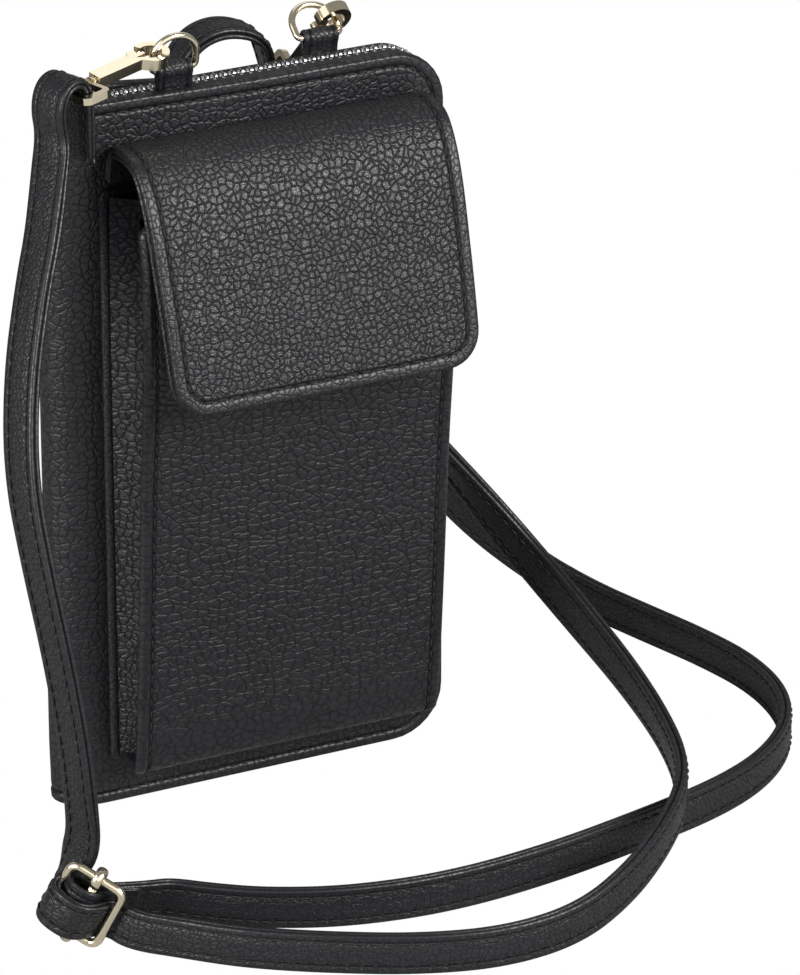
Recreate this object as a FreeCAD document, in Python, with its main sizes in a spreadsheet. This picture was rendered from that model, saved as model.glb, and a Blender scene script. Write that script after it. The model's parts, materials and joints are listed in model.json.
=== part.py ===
# Phone pouch: a zip-round wallet with a phone pocket and flap on its front, and a strap on two snap hooks.
# Frame: X to the right across the front, Y to the back, Z up. The origin is under the middle of the wallet,
# on the surface that it stands on. Millimetres.
import FreeCAD
import Part
import math
import os
from FreeCAD import Placement, Rotation, Vector

SIZES = [
    ("cover_width", 106.0, "wallet from the spine to the right edge"),
    ("cover_height", 190.0, "wallet height"),
    ("cover_depth", 16.0, "wallet thickness, front face to back face"),
    ("cover_skin", 1.5, "leather of the cover"),
    ("corner_radius", 14.0, "round corners on the zip side"),
    ("turn_in", 8.0, "depth of the leather turned in along the edges"),
    ("edge_band", 3.4, "pressed band outside the stitches, along the zip's three sides"),
    ("edge_press", 0.3, "depth of the pressed band"),
    ("board_thickness", 1.3, "stiffener board"),
    ("layer_gap", 0.1, "room between sewn layers"),
    ("lining_thickness", 0.6, "lining cloth"),
    ("divider_thickness", 1.0, "note divider"),
    ("card_thickness", 0.8, "thickness of one card slot"),
    ("card_rise", 22.0, "height from one card slot to the next"),
    ("card_count", 4.0, "card slots"),
    ("zip_inset", 2.0, "zip tape below the cover's edge"),
    ("tape_thickness", 0.7, "zip tape"),
    ("tooth_pitch", 2.4, "spacing of the teeth on one tape"),
    ("tooth_length", 0.95, "tooth along the zip"),
    ("tooth_reach", 2.2, "tooth across the zip"),
    ("tooth_height", 2.8, "tooth through the tape"),
    ("chain_slot", 0.8, "gap between the two rows, where the slider's neck runs"),
    ("slider_length", 8.0, "zip slider"),
    ("slider_plate", 1.1, "thickness of the slider's plates"),
    ("slider_from_start", 5.5, "middle of the slider from the zip's start, with the zip closed"),
    ("slider_clear", 0.3, "room between slider and teeth"),
    ("puller_length", 9.5, "zip puller"),
    ("puller_width", 3.2, "zip puller"),
    ("puller_thickness", 1.0, "zip puller"),
    ("puller_pin", 1.0, "diameter of the puller's pin"),
    ("pocket_from_spine", 14.5, "pocket's left side from the outside of the spine"),
    ("pocket_from_edge", 7.5, "pocket's right side from the wallet's right edge"),
    ("pocket_bottom", 13.0, "Z of the pocket's under side"),
    ("pocket_top", 165.0, "Z of the pocket's mouth"),
    ("pocket_bulge_height", 146.0, "Z where the pocket stands out most"),
    ("pocket_mouth_depth", 18.9, "pocket depth at its mouth"),
    ("pocket_bulge_depth", 21.9, "pocket depth where it stands out most"),
    ("pocket_foot_depth", 12.8, "pocket depth at the bottom fold"),
    ("pocket_foot_round", 5.0, "radius of the bottom fold"),
    ("pocket_skin", 2.2, "pocket front, leather and lining"),
    ("gusset_skin", 0.8, "side gusset"),
    ("gusset_fold", 3.0, "how far the gusset folds in"),
    ("pocket_back_skin", 1.0, "back wall of the pocket"),
    ("pocket_back_top", 181.0, "Z of the back wall's top edge"),
    ("magnet_diameter", 12.0, "hidden magnets of the flap"),
    ("magnet_thickness", 1.2, "hidden magnets of the flap"),
    ("magnet_clear", 0.1, "room round a magnet"),
    ("flap_thickness", 3.0, "flap, leather and lining together"),
    ("flap_lining_thickness", 1.6, "lining side of the flap"),
    ("flap_taper", 1.5, "how far each side of the flap draws in towards its free edge"),
    ("flap_length", 54.0, "flap from the front fold to the free edge"),
    ("flap_lean", 17.0, "angle of the flap out from upright"),
    ("flap_corner", 9.0, "round corners of the flap"),
    ("flap_arc_y", -17.4, "centre of the flap's bend over the pocket"),
    ("flap_arc_z", 165.0, "centre of the flap's bend over the pocket"),
    ("flap_arc_radius", 14.0, "middle of the flap's thickness over the pocket"),
    ("flap_hinge_angle", 62.0, "where the bend leaves the back wall"),
    ("flap_fold_angle", 147.0, "where the bend ends at the front fold"),
    ("flap_gap", 0.4, "room at the flap's folds"),
    ("tab_width", 9.2, "leather tabs of the rings"),
    ("tab_skin", 0.9, "tab leather"),
    ("tab_sewn", 7.0, "how far the tabs reach down inside the cover"),
    ("ring_wire", 1.7, "wire of the rings"),
    ("ring_clear", 0.25, "room of the ring's bar in its tab"),
    ("ring_half", 5.8, "half the width of a ring, at the wire's middle"),
    ("ring_leg", 3.4, "straight height of a ring"),
    ("ring_corner", 1.3, "corner radius of a ring"),
    ("ring_front_from_spine", 34.7, "ring on the front edge, from the outside of the spine"),
    ("ring_front_rise", 4.0, "bar of the front ring above the cover"),
    ("ring_front_lean", -11.0, "ring leaning forward"),
    ("ring_back_from_edge", 28.5, "ring on the back edge, from the wallet's right edge"),
    ("ring_back_rise", 2.6, "bar of the back ring above the cover"),
    ("ring_back_lean", 53.0, "ring leaning back"),
    ("hook_body", 13.6, "snap hook, length of the body"),
    ("hook_half", 2.9, "half the height of the hook's body"),
    ("hook_width", 4.4, "width of the hook across its plane"),
    ("claw_centre", 18.4, "middle of the claw, from the swivel"),
    ("claw_inner", 3.1, "inner radius of the claw"),
    ("claw_band", 1.9, "thickness of the claw"),
    ("gate_width", 2.4, "spring gate"),
    ("gate_arm", 1.3, "thickness of the gate's arm"),
    ("gate_pin", 1.0, "pivot pin of the gate"),
    ("gate_clear", 0.15, "room beside the gate"),
    ("pin_clear", 0.05, "room round the pivot pin"),
    ("post_diameter", 2.2, "swivel post"),
    ("post_head", 3.6, "head of the swivel post"),
    ("post_clear", 0.1, "room round the swivel post"),
    ("eye_bar", 1.8, "bars of the strap eye"),
    ("eye_gap", 5.4, "opening of the eye along the hook"),
    ("strap_width", 10.5, "strap"),
    ("strap_thickness", 2.2, "strap"),
    ("loop_thickness", 1.0, "thinned end of the strap, folded round the slide's bar"),
    ("strap_room", 0.7, "room beside the strap in an eye"),
    ("slide_wire", 1.8, "strap slide, width of the frame"),
    ("slide_thick", 1.8, "strap slide, thickness of the frame"),
    ("slide_across", 17.0, "strap slide, along its bars"),
    ("slide_along", 17.6, "strap slide, along the strap"),
    ("slide_round", 3.0, "outer corner radius of the strap slide"),
]

doc = FreeCAD.newDocument("phone_pouch")
sheet = doc.addObject("Spreadsheet::Sheet", "sizes")
for row, (alias, value, note) in enumerate(SIZES, start=1):
    sheet.set(f"A{row}", note)
    sheet.set(f"B{row}", str(value))
    sheet.setAlias(f"B{row}", alias)
doc.recompute()
nodes = []


def size(alias):
    """A driving dimension, read from the sheet."""
    return float(sheet.get(alias))


def polar(centre, radius, degrees):
    """The point at an angle on a circle in a sketch."""
    angle = math.radians(degrees)
    return (centre[0] + radius * math.cos(angle), centre[1] + radius * math.sin(angle))


def new_body(label):
    body = doc.addObject("PartDesign::Body", label)
    body.Label = label
    nodes.append(body)
    return body


def new_sketch(body, role, name, offset=0.0):
    """A sketch on one of the body's own origin planes, moved along the plane's normal."""
    sketch = body.newObject("Sketcher::SketchObject", name)
    plane = next(f for f in body.Origin.OriginFeatures if f.Role == role)
    sketch.AttachmentSupport = [(plane, "")]
    sketch.MapMode = "FlatFace"
    sketch.AttachmentOffset = Placement(Vector(0, 0, offset), Rotation())
    return sketch


def draw(sketch, start, *steps):
    """A closed outline: each step is an end point, or (middle, end) of an arc."""
    here = Vector(*start, 0)
    for step in steps:
        arc = isinstance(step[0], tuple)
        end = Vector(*(step[1] if arc else step), 0)
        if arc:
            sketch.addGeometry(Part.Arc(here, Vector(*step[0], 0), end))
        else:
            sketch.addGeometry(Part.LineSegment(here, end))
        here = end


def draw_circle(sketch, centre, diameter):
    sketch.addGeometry(Part.Circle(Vector(*centre, 0), Vector(0, 0, 1), diameter / 2))


def draw_round_box(sketch, low, high, radius):
    """A rectangle with round corners."""
    x0, y0 = low
    x1, y1 = high
    inner = [(x1 - radius, y0 + radius), (x1 - radius, y1 - radius),
             (x0 + radius, y1 - radius), (x0 + radius, y0 + radius)]
    draw(
        sketch, (x0 + radius, y0), (x1 - radius, y0),
        (polar(inner[0], radius, -45), (x1, y0 + radius)), (x1, y1 - radius),
        (polar(inner[1], radius, 45), (x1 - radius, y1)), (x0 + radius, y1),
        (polar(inner[2], radius, 135), (x0, y1 - radius)), (x0, y0 + radius),
        (polar(inner[3], radius, 225), (x0 + radius, y0)),
    )


def feature(body, kind, name, sketch, expression=None, length=None, **settings):
    """A Pad or Pocket on a sketch, with its length bound to the sheet."""
    made = body.newObject("PartDesign::" + kind, name)
    made.Profile = sketch
    if expression:
        made.setExpression("Length", expression)
    if length is not None:
        made.Length = length
    for key, value in settings.items():
        setattr(made, key, value)
    return made


def new_solid(label, shape, placement=None):
    """A sub-part whose shape is worked out here from the sheet's values."""
    made = doc.addObject("Part::Feature", label)
    made.Label = label
    made.Shape = shape
    if placement:
        made.Placement = placement
    nodes.append(made)
    return made


RIGHT = size("cover_width") / 2
LEFT = -RIGHT
HEIGHT = size("cover_height")
HALF = size("cover_depth") / 2
SKIN = size("cover_skin")
SPINE_X = LEFT + HALF
INNER = HALF - SKIN
GAP = size("layer_gap")
POCKET_LEFT = LEFT + size("pocket_from_spine")
POCKET_RIGHT = RIGHT - size("pocket_from_edge")
POCKET_WIDTH = "sizes.cover_width - sizes.pocket_from_spine - sizes.pocket_from_edge"
RING_FRONT_X = LEFT + size("ring_front_from_spine")
RING_BACK_X = RIGHT - size("ring_back_from_edge")
TAB_FOOT = HEIGHT - size("tab_sewn")
SLIDER_PARK = SPINE_X + size("slider_from_start")


def draw_channel(sketch, outer, inner, right):
    """A U outline seen from above: two walls joined by a half round at the spine."""
    draw(
        sketch, (right, -outer), (right, -inner), (SPINE_X, -inner),
        ((SPINE_X - inner, 0), (SPINE_X, inner)), (right, inner), (right, outer), (SPINE_X, outer),
        ((SPINE_X - outer, 0), (SPINE_X, -outer)), (right, -outer),
    )


def draw_edge_band(sketch, outer_inset, inner_inset, start):
    """The band along the top, zip side and bottom of the wallet, between two insets from its edge."""
    radius = size("corner_radius")
    top = (RIGHT - radius, HEIGHT - radius)
    foot = (RIGHT - radius, radius)
    outer = radius - outer_inset
    inner = radius - inner_inset
    draw(
        sketch, (start, HEIGHT - outer_inset), (top[0], HEIGHT - outer_inset),
        (polar(top, outer, 45), (RIGHT - outer_inset, top[1])), (RIGHT - outer_inset, foot[1]),
        (polar(foot, outer, -45), (foot[0], outer_inset)), (start, outer_inset), (start, inner_inset),
        (foot[0], inner_inset), (polar(foot, inner, -45), (RIGHT - inner_inset, foot[1])),
        (RIGHT - inner_inset, top[1]), (polar(top, inner, 45), (top[0], HEIGHT - inner_inset)),
        (start, HEIGHT - inner_inset), (start, HEIGHT - outer_inset),
    )


def make_cover():
    """The leather: one piece round the spine, with its edges turned in on the zip's three sides."""
    body = new_body("cover_leather")
    wrap = new_sketch(body, "XY_Plane", "cover_wrap")
    draw_channel(wrap, HALF, INNER, RIGHT)
    feature(body, "Pad", "cover_pad", wrap, "sizes.cover_height")
    corners = new_sketch(body, "XZ_Plane", "cover_corners")
    radius = size("corner_radius")
    for edge, sign in ((HEIGHT, 1), (0.0, -1)):
        centre = (RIGHT - radius, edge - sign * radius)
        beyond = (RIGHT + radius, edge + sign * radius)
        draw(
            corners, (centre[0], edge), (polar(centre, radius, sign * 45), (RIGHT, centre[1])),
            (beyond[0], centre[1]), beyond, (centre[0], beyond[1]), (centre[0], edge),
        )
    feature(body, "Pocket", "cover_rounding", corners, Type="ThroughAll", Midplane=True)
    for name, offset in (("front_turning", INNER - SKIN), ("back_turning", -INNER)):
        turned = new_sketch(body, "XZ_Plane", name, offset)
        draw_edge_band(turned, 0.0, size("turn_in"), SPINE_X)
        feature(body, "Pad", name + "_pad", turned, "sizes.cover_skin")
    for name, offset in (("front_press", HALF), ("back_press", -HALF)):
        pressed = new_sketch(body, "XZ_Plane", name, offset)
        draw_edge_band(pressed, -SKIN, size("edge_band"), SPINE_X)
        feature(body, "Pocket", name + "_cut", pressed, "sizes.edge_press", Reversed=offset < 0)


def make_board(label, offset):
    """A stiffener board inside the cover, in the space that the turned edges leave."""
    body = new_body(label)
    inset = size("turn_in") + 2 * GAP
    outline = new_sketch(body, "XZ_Plane", label + "_outline", offset)
    draw_round_box(outline, (SPINE_X, inset), (RIGHT - inset, HEIGHT - inset), size("corner_radius") / 2)
    feature(body, "Pad", label + "_pad", outline, "sizes.board_thickness")


def make_inside():
    """Lining, card slots and note divider between the two boards."""
    inset = size("turn_in") + 2 * GAP
    outer = INNER - SKIN - GAP
    inner = outer - size("lining_thickness")
    lining = new_body("lining")
    wrap = new_sketch(lining, "XY_Plane", "lining_wrap", inset)
    draw_channel(wrap, outer, inner, RIGHT - inset)
    feature(lining, "Pad", "lining_pad", wrap, "sizes.cover_height - 2 * sizes.turn_in - 4 * sizes.layer_gap")
    cards = new_body("card_slots")
    steps = int(size("card_count"))
    step = size("card_thickness")
    side = new_sketch(cards, "YZ_Plane", "card_steps", SPINE_X)
    back = inner - GAP
    foot = inset + step
    top = foot + steps * size("card_rise")
    stairs = []
    for k in range(steps):
        level = foot + (steps - k) * size("card_rise")
        stairs += [(back - (k + 1) * step, level), (back - (k + 1) * step, level - size("card_rise"))]
    draw(side, (back, foot), (back, top), *stairs, (back, foot))
    feature(cards, "Pad", "card_pad", side, length=RIGHT - inset - SPINE_X - step)
    divider = new_body("note_divider")
    outline = new_sketch(divider, "XZ_Plane", "divider_outline", inner - GAP - size("divider_thickness"))
    draw_round_box(outline, (SPINE_X, inset), (RIGHT - inset - step, HEIGHT - 2 * inset), size("card_thickness") * 4)
    feature(divider, "Pad", "divider_pad", outline, "sizes.divider_thickness")


def zip_reach():
    """Half the width of the zip's chain of teeth."""
    return size("chain_slot") / 2 + size("tooth_reach")


def make_tape(label, side):
    """One zip tape along three edges, with a notch where a ring's tab goes down beside it."""
    body = new_body(label)
    wide = INNER - SKIN
    reach = zip_reach()
    inset = size("zip_inset")
    band = new_sketch(body, "XZ_Plane", label + "_band", reach if side < 0 else -wide)
    draw_edge_band(band, inset, inset + size("tape_thickness"), SPINE_X)
    feature(body, "Pad", label + "_pad", band, length=wide - reach)
    notch = new_sketch(body, "XY_Plane", label + "_notch", HEIGHT)
    middle = RING_FRONT_X if side < 0 else RING_BACK_X
    half = size("tab_width") / 2 + GAP
    inside = side * (tab_y() - size("tab_skin") - GAP)
    outside = side * (wide + 1.0)
    draw(
        notch, (middle - half, inside), (middle + half, inside), (middle + half, outside),
        (middle - half, outside), (middle - half, inside),
    )
    feature(body, "Pocket", label + "_cut", notch, length=inset + 2 * size("tape_thickness"))


def along_zip(distance):
    """(X, Z, turn) at a distance along the zip, from the spine over the top, down and back below."""
    radius = size("corner_radius")
    deep = size("zip_inset")
    bend = radius - deep
    straight = RIGHT - radius - SPINE_X
    down = HEIGHT - 2 * radius
    arc = bend * math.pi / 2
    if distance < straight:
        return SPINE_X + distance, HEIGHT - deep, 0.0
    distance -= straight
    if distance < arc:
        turn = distance / bend
        return RIGHT - radius + bend * math.sin(turn), HEIGHT - radius + bend * math.cos(turn), turn
    distance -= arc
    if distance < down:
        return RIGHT - deep, HEIGHT - radius - distance, math.pi / 2
    distance -= down
    if distance < arc:
        turn = math.pi / 2 + distance / bend
        return RIGHT - radius + bend * math.sin(turn), radius + bend * math.cos(turn), turn
    return RIGHT - radius - (distance - arc), deep, math.pi


def zip_length():
    straight = RIGHT - size("corner_radius") - SPINE_X
    arc = (size("corner_radius") - size("zip_inset")) * math.pi / 2
    return 2 * straight + 2 * arc + HEIGHT - 2 * size("corner_radius")


def tooth_at(distance, side, length):
    """A block clamped to the tape's edge, square to the zip."""
    x, z, turn = along_zip(distance)
    reach = size("tooth_reach")
    near = side * size("chain_slot") / 2
    low = min(near, near + side * reach)
    block = Part.makeBox(length, reach, size("tooth_height"), Vector(-length / 2, low, -size("tooth_height") / 2))
    middle = Vector(0, 0, -size("tape_thickness") / 2)
    block.translate(middle)
    block.Placement = Placement(Vector(x, 0, z), Rotation(Vector(0, 1, 0), math.degrees(turn))) * block.Placement
    return block


def make_teeth():
    """Two rows of teeth that alternate, and a pair of stops at each end."""
    pitch = size("tooth_pitch")
    ends = 3 * pitch
    count = int((zip_length() - 2 * ends) / pitch)
    for label, side, shift in (("zip_teeth_front", -1, 0.0), ("zip_teeth_back", 1, 0.5)):
        row = [tooth_at(ends + (k + shift) * pitch, side, size("tooth_length")) for k in range(count)]
        new_solid(label, Part.makeCompound(row))
    stop = 2 * size("tooth_length")
    pairs = [(stop, -1), (stop, 1), (zip_length() - stop, -1), (zip_length() - stop, 1)]
    new_solid("zip_stops", Part.makeCompound([tooth_at(d, side, stop) for d, side in pairs]))


def slider_levels():
    """Z of the slider's lower plate, under the teeth, and of its upper plate, over them."""
    middle = HEIGHT - size("zip_inset") - size("tape_thickness") / 2
    half = size("tooth_height") / 2 + size("slider_clear")
    return middle - half - size("slider_plate"), middle + half


def make_slider():
    """The slider: two plates joined by a thin neck between the rows, and a lug for the puller."""
    body = new_body("zip_slider")
    low, high = slider_levels()
    park = SLIDER_PARK
    half = size("slider_length") / 2
    wide = zip_reach() - 0.1
    narrow = wide * 0.7
    for name, level in (("slider_lower", low), ("slider_upper", high)):
        plate = new_sketch(body, "XY_Plane", name, level)
        draw(
            plate, (park + half, -narrow), (park + half, narrow), (park + half * 0.3, wide),
            (park - half * 0.6, wide), ((park - half, 0), (park - half * 0.6, -wide)),
            (park + half * 0.3, -wide), (park + half, -narrow),
        )
        if name == "slider_lower":
            feature(body, "Pad", name + "_pad", plate, "sizes.slider_plate")
            neck = new_sketch(body, "XY_Plane", "slider_neck", low)
            thin = size("chain_slot") / 4
            draw_round_box(neck, (park - half * 0.4, -thin), (park + half * 0.4, thin), thin * 0.9)
            feature(body, "Pad", "slider_neck_pad", neck, length=high - low)
        else:
            feature(body, "Pad", name + "_pad", plate, "sizes.slider_plate")
    lug = new_sketch(body, "XZ_Plane", "slider_lug")
    pivot = puller_pivot()
    radius = size("puller_pin")
    draw(
        lug, (pivot[0] - radius, high), (pivot[0] + radius, high), (pivot[0] + radius, pivot[1]),
        ((pivot[0], pivot[1] + radius), (pivot[0] - radius, pivot[1])), (pivot[0] - radius, high),
    )
    feature(body, "Pad", "slider_lug_pad", lug, "sizes.puller_width / 3", Midplane=True)
    hole = new_sketch(body, "XZ_Plane", "slider_hole")
    draw_circle(hole, pivot, size("puller_pin") + 2 * size("pin_clear"))
    feature(body, "Pocket", "slider_hole_cut", hole, Type="ThroughAll", Midplane=True)


def puller_pivot():
    """(X, Z) of the puller's pin, on the left half of the slider."""
    upper = slider_levels()[1] + size("slider_plate")
    return SLIDER_PARK - size("slider_length") / 4, upper + size("puller_pin") + size("slider_clear") / 2


def make_puller():
    """A flat puller with a forked end on its pin, lying over the spine."""
    pivot = puller_pivot()
    body = new_body("zip_puller")
    flat = new_sketch(body, "XZ_Plane", "puller_side")
    half = size("puller_thickness") / 2
    end = pivot[0] - size("puller_length")
    draw(
        flat, (pivot[0], pivot[1] - half), ((pivot[0] + half, pivot[1]), (pivot[0], pivot[1] + half)),
        (end, pivot[1] + half), ((end - half, pivot[1]), (end, pivot[1] - half)), (pivot[0], pivot[1] - half),
    )
    feature(body, "Pad", "puller_pad", flat, "sizes.puller_width", Midplane=True)
    fork = new_sketch(body, "XY_Plane", "puller_fork", pivot[1] - 2 * half)
    room = size("puller_width") / 6 + size("gate_clear")
    deep = size("puller_pin") + 2 * size("slider_clear")
    draw_round_box(fork, (pivot[0] - deep, -room), (pivot[0] + deep, room), room * 0.4)
    feature(body, "Pocket", "puller_fork_cut", fork, length=4 * half, Reversed=True)
    pin = new_sketch(body, "XZ_Plane", "puller_pin_round")
    draw_circle(pin, pivot, size("puller_pin"))
    feature(body, "Pad", "puller_pin_pad", pin, "sizes.puller_width", Midplane=True)
    slot = new_sketch(body, "XY_Plane", "puller_slot", pivot[1] - 2 * half)
    draw_round_box(slot, (end + 1.0, -size("puller_width") / 4), (end + 5.0, size("puller_width") / 4), 0.7)
    feature(body, "Pocket", "puller_slot_cut", slot, length=4 * half, Reversed=True)


def pocket_wall():
    """Y of the face of the pocket's back wall."""
    return -HALF - GAP - size("pocket_back_skin")


def make_pocket():
    """Back wall, front panel that wraps under the pocket, two folded gussets and a magnet."""
    left = POCKET_LEFT
    right = POCKET_RIGHT
    middle = (left + right) / 2
    wall = pocket_wall()
    back = new_body("pocket_back")
    outline = new_sketch(back, "XZ_Plane", "pocket_back_outline", HALF + GAP)
    draw_round_box(outline, (left, size("pocket_bottom")), (right, size("pocket_back_top")), size("pocket_skin"))
    feature(back, "Pad", "pocket_back_pad", outline, "sizes.pocket_back_skin")
    front = new_body("pocket_front")
    side = new_sketch(front, "YZ_Plane", "pocket_side", middle)
    skin = size("pocket_skin")
    bottom = size("pocket_bottom")
    rounding = size("pocket_foot_round")
    mouth = wall - size("pocket_mouth_depth")
    bulge = wall - size("pocket_bulge_depth")
    foot = wall - size("pocket_foot_depth")
    centre = (foot + rounding, bottom + rounding)
    back_edge = wall - GAP
    draw(
        side, (mouth, size("pocket_top")), (bulge, size("pocket_bulge_height")), (foot, centre[1]),
        (polar(centre, rounding, 225), (centre[0], bottom)), (back_edge, bottom), (back_edge, bottom + skin),
        (centre[0], bottom + skin), (polar(centre, rounding - skin, 225), (foot + skin, centre[1])),
        (bulge + skin, size("pocket_bulge_height")), (mouth + skin, size("pocket_top")),
        (mouth, size("pocket_top")),
    )
    feature(front, "Pad", "pocket_front_pad", side, POCKET_WIDTH, Midplane=True)
    level = magnet_level()
    seat = new_sketch(front, "XZ_Plane", "magnet_seat", -pocket_front_y(level) - skin)
    draw_circle(seat, (middle, level), size("magnet_diameter") + 2 * size("magnet_clear"))
    deep = skin / 4 + size("magnet_thickness") + size("magnet_clear")
    feature(front, "Pocket", "magnet_seat_cut", seat, length=deep, Reversed=True)
    magnet = new_body("pocket_magnet")
    disc = new_sketch(magnet, "XZ_Plane", "magnet_disc", -pocket_front_y(level) - skin + skin / 4)
    draw_circle(disc, (middle, level), size("magnet_diameter"))
    feature(magnet, "Pad", "magnet_pad", disc, "sizes.magnet_thickness")
    for label, edge, sign in (("pocket_gusset_left", left, 1), ("pocket_gusset_right", right, -1)):
        levels = (bottom + rounding + GAP, size("pocket_bulge_height"), size("pocket_top") - 2 * skin)
        new_solid(label, Part.makeLoft([gusset_wire(edge, sign, z) for z in levels], True, True))


def pocket_front_y(level):
    """Y of the pocket's outer face at a height."""
    wall = pocket_wall()
    rows = [
        (size("pocket_bottom") + size("pocket_foot_round"), wall - size("pocket_foot_depth")),
        (size("pocket_bulge_height"), wall - size("pocket_bulge_depth")),
        (size("pocket_top"), wall - size("pocket_mouth_depth")),
    ]
    low, high = (rows[0], rows[1]) if level < rows[1][0] else (rows[1], rows[2])
    share = (level - low[0]) / (high[0] - low[0])
    return low[1] + share * (high[1] - low[1])


def gusset_wire(edge, sign, level):
    """The V of a gusset at a height: sewn to the front and the back wall, folded in between."""
    front = pocket_front_y(level) + size("pocket_skin") + GAP
    back = pocket_wall() - GAP
    skin = size("gusset_skin")
    fold = size("gusset_fold")
    middle = (front + back) / 2
    outer = [(edge, front), (edge + sign * fold, middle), (edge, back)]
    inner = [(edge + sign * skin * 2, back), (edge + sign * (fold + skin * 2), middle),
             (edge + sign * skin * 2, front)]
    corners = [Vector(x, y, level) for x, y in outer + inner]
    return Part.makePolygon(corners + corners[:1])


def flap_axis(angle_name):
    """(Y, Z) on the middle of the flap's bend."""
    centre = (size("flap_arc_y"), size("flap_arc_z"))
    return polar(centre, size("flap_arc_radius"), size(angle_name))


def flap_middle():
    return (POCKET_LEFT + POCKET_RIGHT) / 2


def magnet_level():
    """Z where the flap's magnet meets the pocket when the flap is shut."""
    fold = flap_axis("flap_fold_angle")
    return fold[1] - (size("flap_length") - size("magnet_diameter"))


def make_flap():
    """A bridge that bends over the pocket's mouth, and a front leaf of leather and lining with a magnet."""
    centre = (size("flap_arc_y"), size("flap_arc_z"))
    half = size("flap_thickness") / 2
    radius = size("flap_arc_radius")
    start = size("flap_hinge_angle")
    room = math.degrees((half + size("flap_gap")) / radius)
    end = size("flap_fold_angle") - room
    hinge = flap_axis("flap_hinge_angle")
    bridge = new_body("flap_bridge")
    bend = new_sketch(bridge, "YZ_Plane", "flap_bend", flap_middle())
    draw(
        bend, polar(centre, radius - half, start),
        (polar(hinge, half, start - 90), polar(centre, radius + half, start)),
        (polar(centre, radius + half, (start + end) / 2), polar(centre, radius + half, end)),
        polar(centre, radius - half, end),
        (polar(centre, radius - half, (start + end) / 2), polar(centre, radius - half, start)),
    )
    feature(bridge, "Pad", "flap_bend_pad", bend, POCKET_WIDTH, Midplane=True)
    fold = flap_axis("flap_fold_angle")
    leaf = Placement(
        Vector(flap_middle(), fold[0], fold[1]), Rotation(Vector(1, 0, 0), -size("flap_lean"))
    )
    share = size("flap_lining_thickness")
    for label, near, thick in (
        ("flap_leather", half - (size("flap_thickness") - share), size("flap_thickness") - share),
        ("flap_lining", -half, share - GAP),
    ):
        body = new_body(label)
        outline = new_sketch(body, "XZ_Plane", label + "_outline", near)
        draw_leaf(outline)
        feature(body, "Pad", label + "_pad", outline, length=thick)
        if label == "flap_leather":
            bead = new_sketch(body, "YZ_Plane", "flap_bead")
            draw(bead, (-half, 0.0), (half, 0.0), ((0.0, half), (-half, 0.0)))
            feature(body, "Pad", "flap_bead_pad", bead, POCKET_WIDTH, Midplane=True)
        else:
            seat = new_sketch(body, "XZ_Plane", "flap_magnet_seat", near + thick)
            draw_circle(seat, (0, magnet_level() - fold[1]), size("magnet_diameter") + 2 * size("magnet_clear"))
            deep = size("magnet_thickness") + size("magnet_clear")
            feature(body, "Pocket", "flap_magnet_cut", seat, length=deep)
            magnet = new_body("flap_magnet")
            disc = new_sketch(magnet, "XZ_Plane", "flap_magnet_disc", near + thick - size("magnet_thickness"))
            draw_circle(disc, (0, magnet_level() - fold[1]), size("magnet_diameter"))
            feature(magnet, "Pad", "flap_magnet_pad", disc, "sizes.magnet_thickness")
            magnet.Placement = leaf
        body.Placement = leaf


def draw_leaf(sketch):
    """The front leaf: slightly narrower at its free edge, with round lower corners."""
    top = (POCKET_RIGHT - POCKET_LEFT) / 2
    foot = top - size("flap_taper")
    length = size("flap_length")
    corner = size("flap_corner")
    side = foot + (top - foot) * corner / length
    draw(
        sketch, (-top, 0), (top, 0), (side, corner - length),
        (polar((side - corner, corner - length), corner, -45), (side - corner, -length)),
        (corner - side, -length),
        (polar((corner - side, corner - length), corner, 225), (-side, corner - length)), (-top, 0),
    )


def tab_y():
    """Distance of the tabs' middle from the zip's middle: just inside the turned edge."""
    return INNER - SKIN - GAP - size("tab_skin")


def make_tab(label, side, middle, height):
    """A leather strip folded over the ring's bar, its two ends sewn together behind the cover's edge."""
    body = new_body(label)
    loop = new_sketch(body, "YZ_Plane", label + "_loop", middle)
    hole = size("ring_wire") + 2 * size("ring_clear")
    outer = hole / 2 + size("tab_skin")
    skin = size("tab_skin")
    y = side * tab_y()
    shoulder = height - math.sqrt(outer**2 - skin**2)
    draw(
        loop, (y - skin, TAB_FOOT), (y + skin, TAB_FOOT), (y + skin, shoulder),
        ((y, height + outer), (y - skin, shoulder)), (y - skin, TAB_FOOT),
    )
    draw_circle(loop, (y, height), hole)
    feature(body, "Pad", label + "_pad", loop, "sizes.tab_width", Midplane=True)


def ring_frame(side, middle, height, lean):
    """The ring's own frame: its bar along X, its legs leaning back."""
    return Placement(Vector(middle, side * tab_y(), height), Rotation(Vector(1, 0, 0), -lean))


def make_ring(label, side, middle, height, lean):
    """A D of round wire: a straight bar, two corners, two legs and a half round."""
    half = size("ring_half")
    corner = size("ring_corner")
    leg = size("ring_leg")
    inner = half - corner

    def at(x, z):
        return Vector(x, 0, z)

    def bend(centre, first, last, radius):
        stops = [polar(centre, radius, angle) for angle in (first, (first + last) / 2, last)]
        return Part.Arc(*[at(*stop) for stop in stops]).toShape()

    path = Part.Wire([
        Part.makeLine(at(0, 0), at(inner, 0)), bend((inner, corner), -90, 0, corner),
        Part.makeLine(at(half, corner), at(half, leg)), bend((0, leg), 0, 180, half),
        Part.makeLine(at(-half, leg), at(-half, corner)), bend((-inner, corner), 180, 270, corner),
        Part.makeLine(at(-inner, 0), at(0, 0)),
    ])
    section = Part.Face(Part.Wire(Part.makeCircle(size("ring_wire") / 2, at(0, 0), Vector(1, 0, 0))))
    new_solid(label, path.makePipe(section), ring_frame(side, middle, height, lean))


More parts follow.
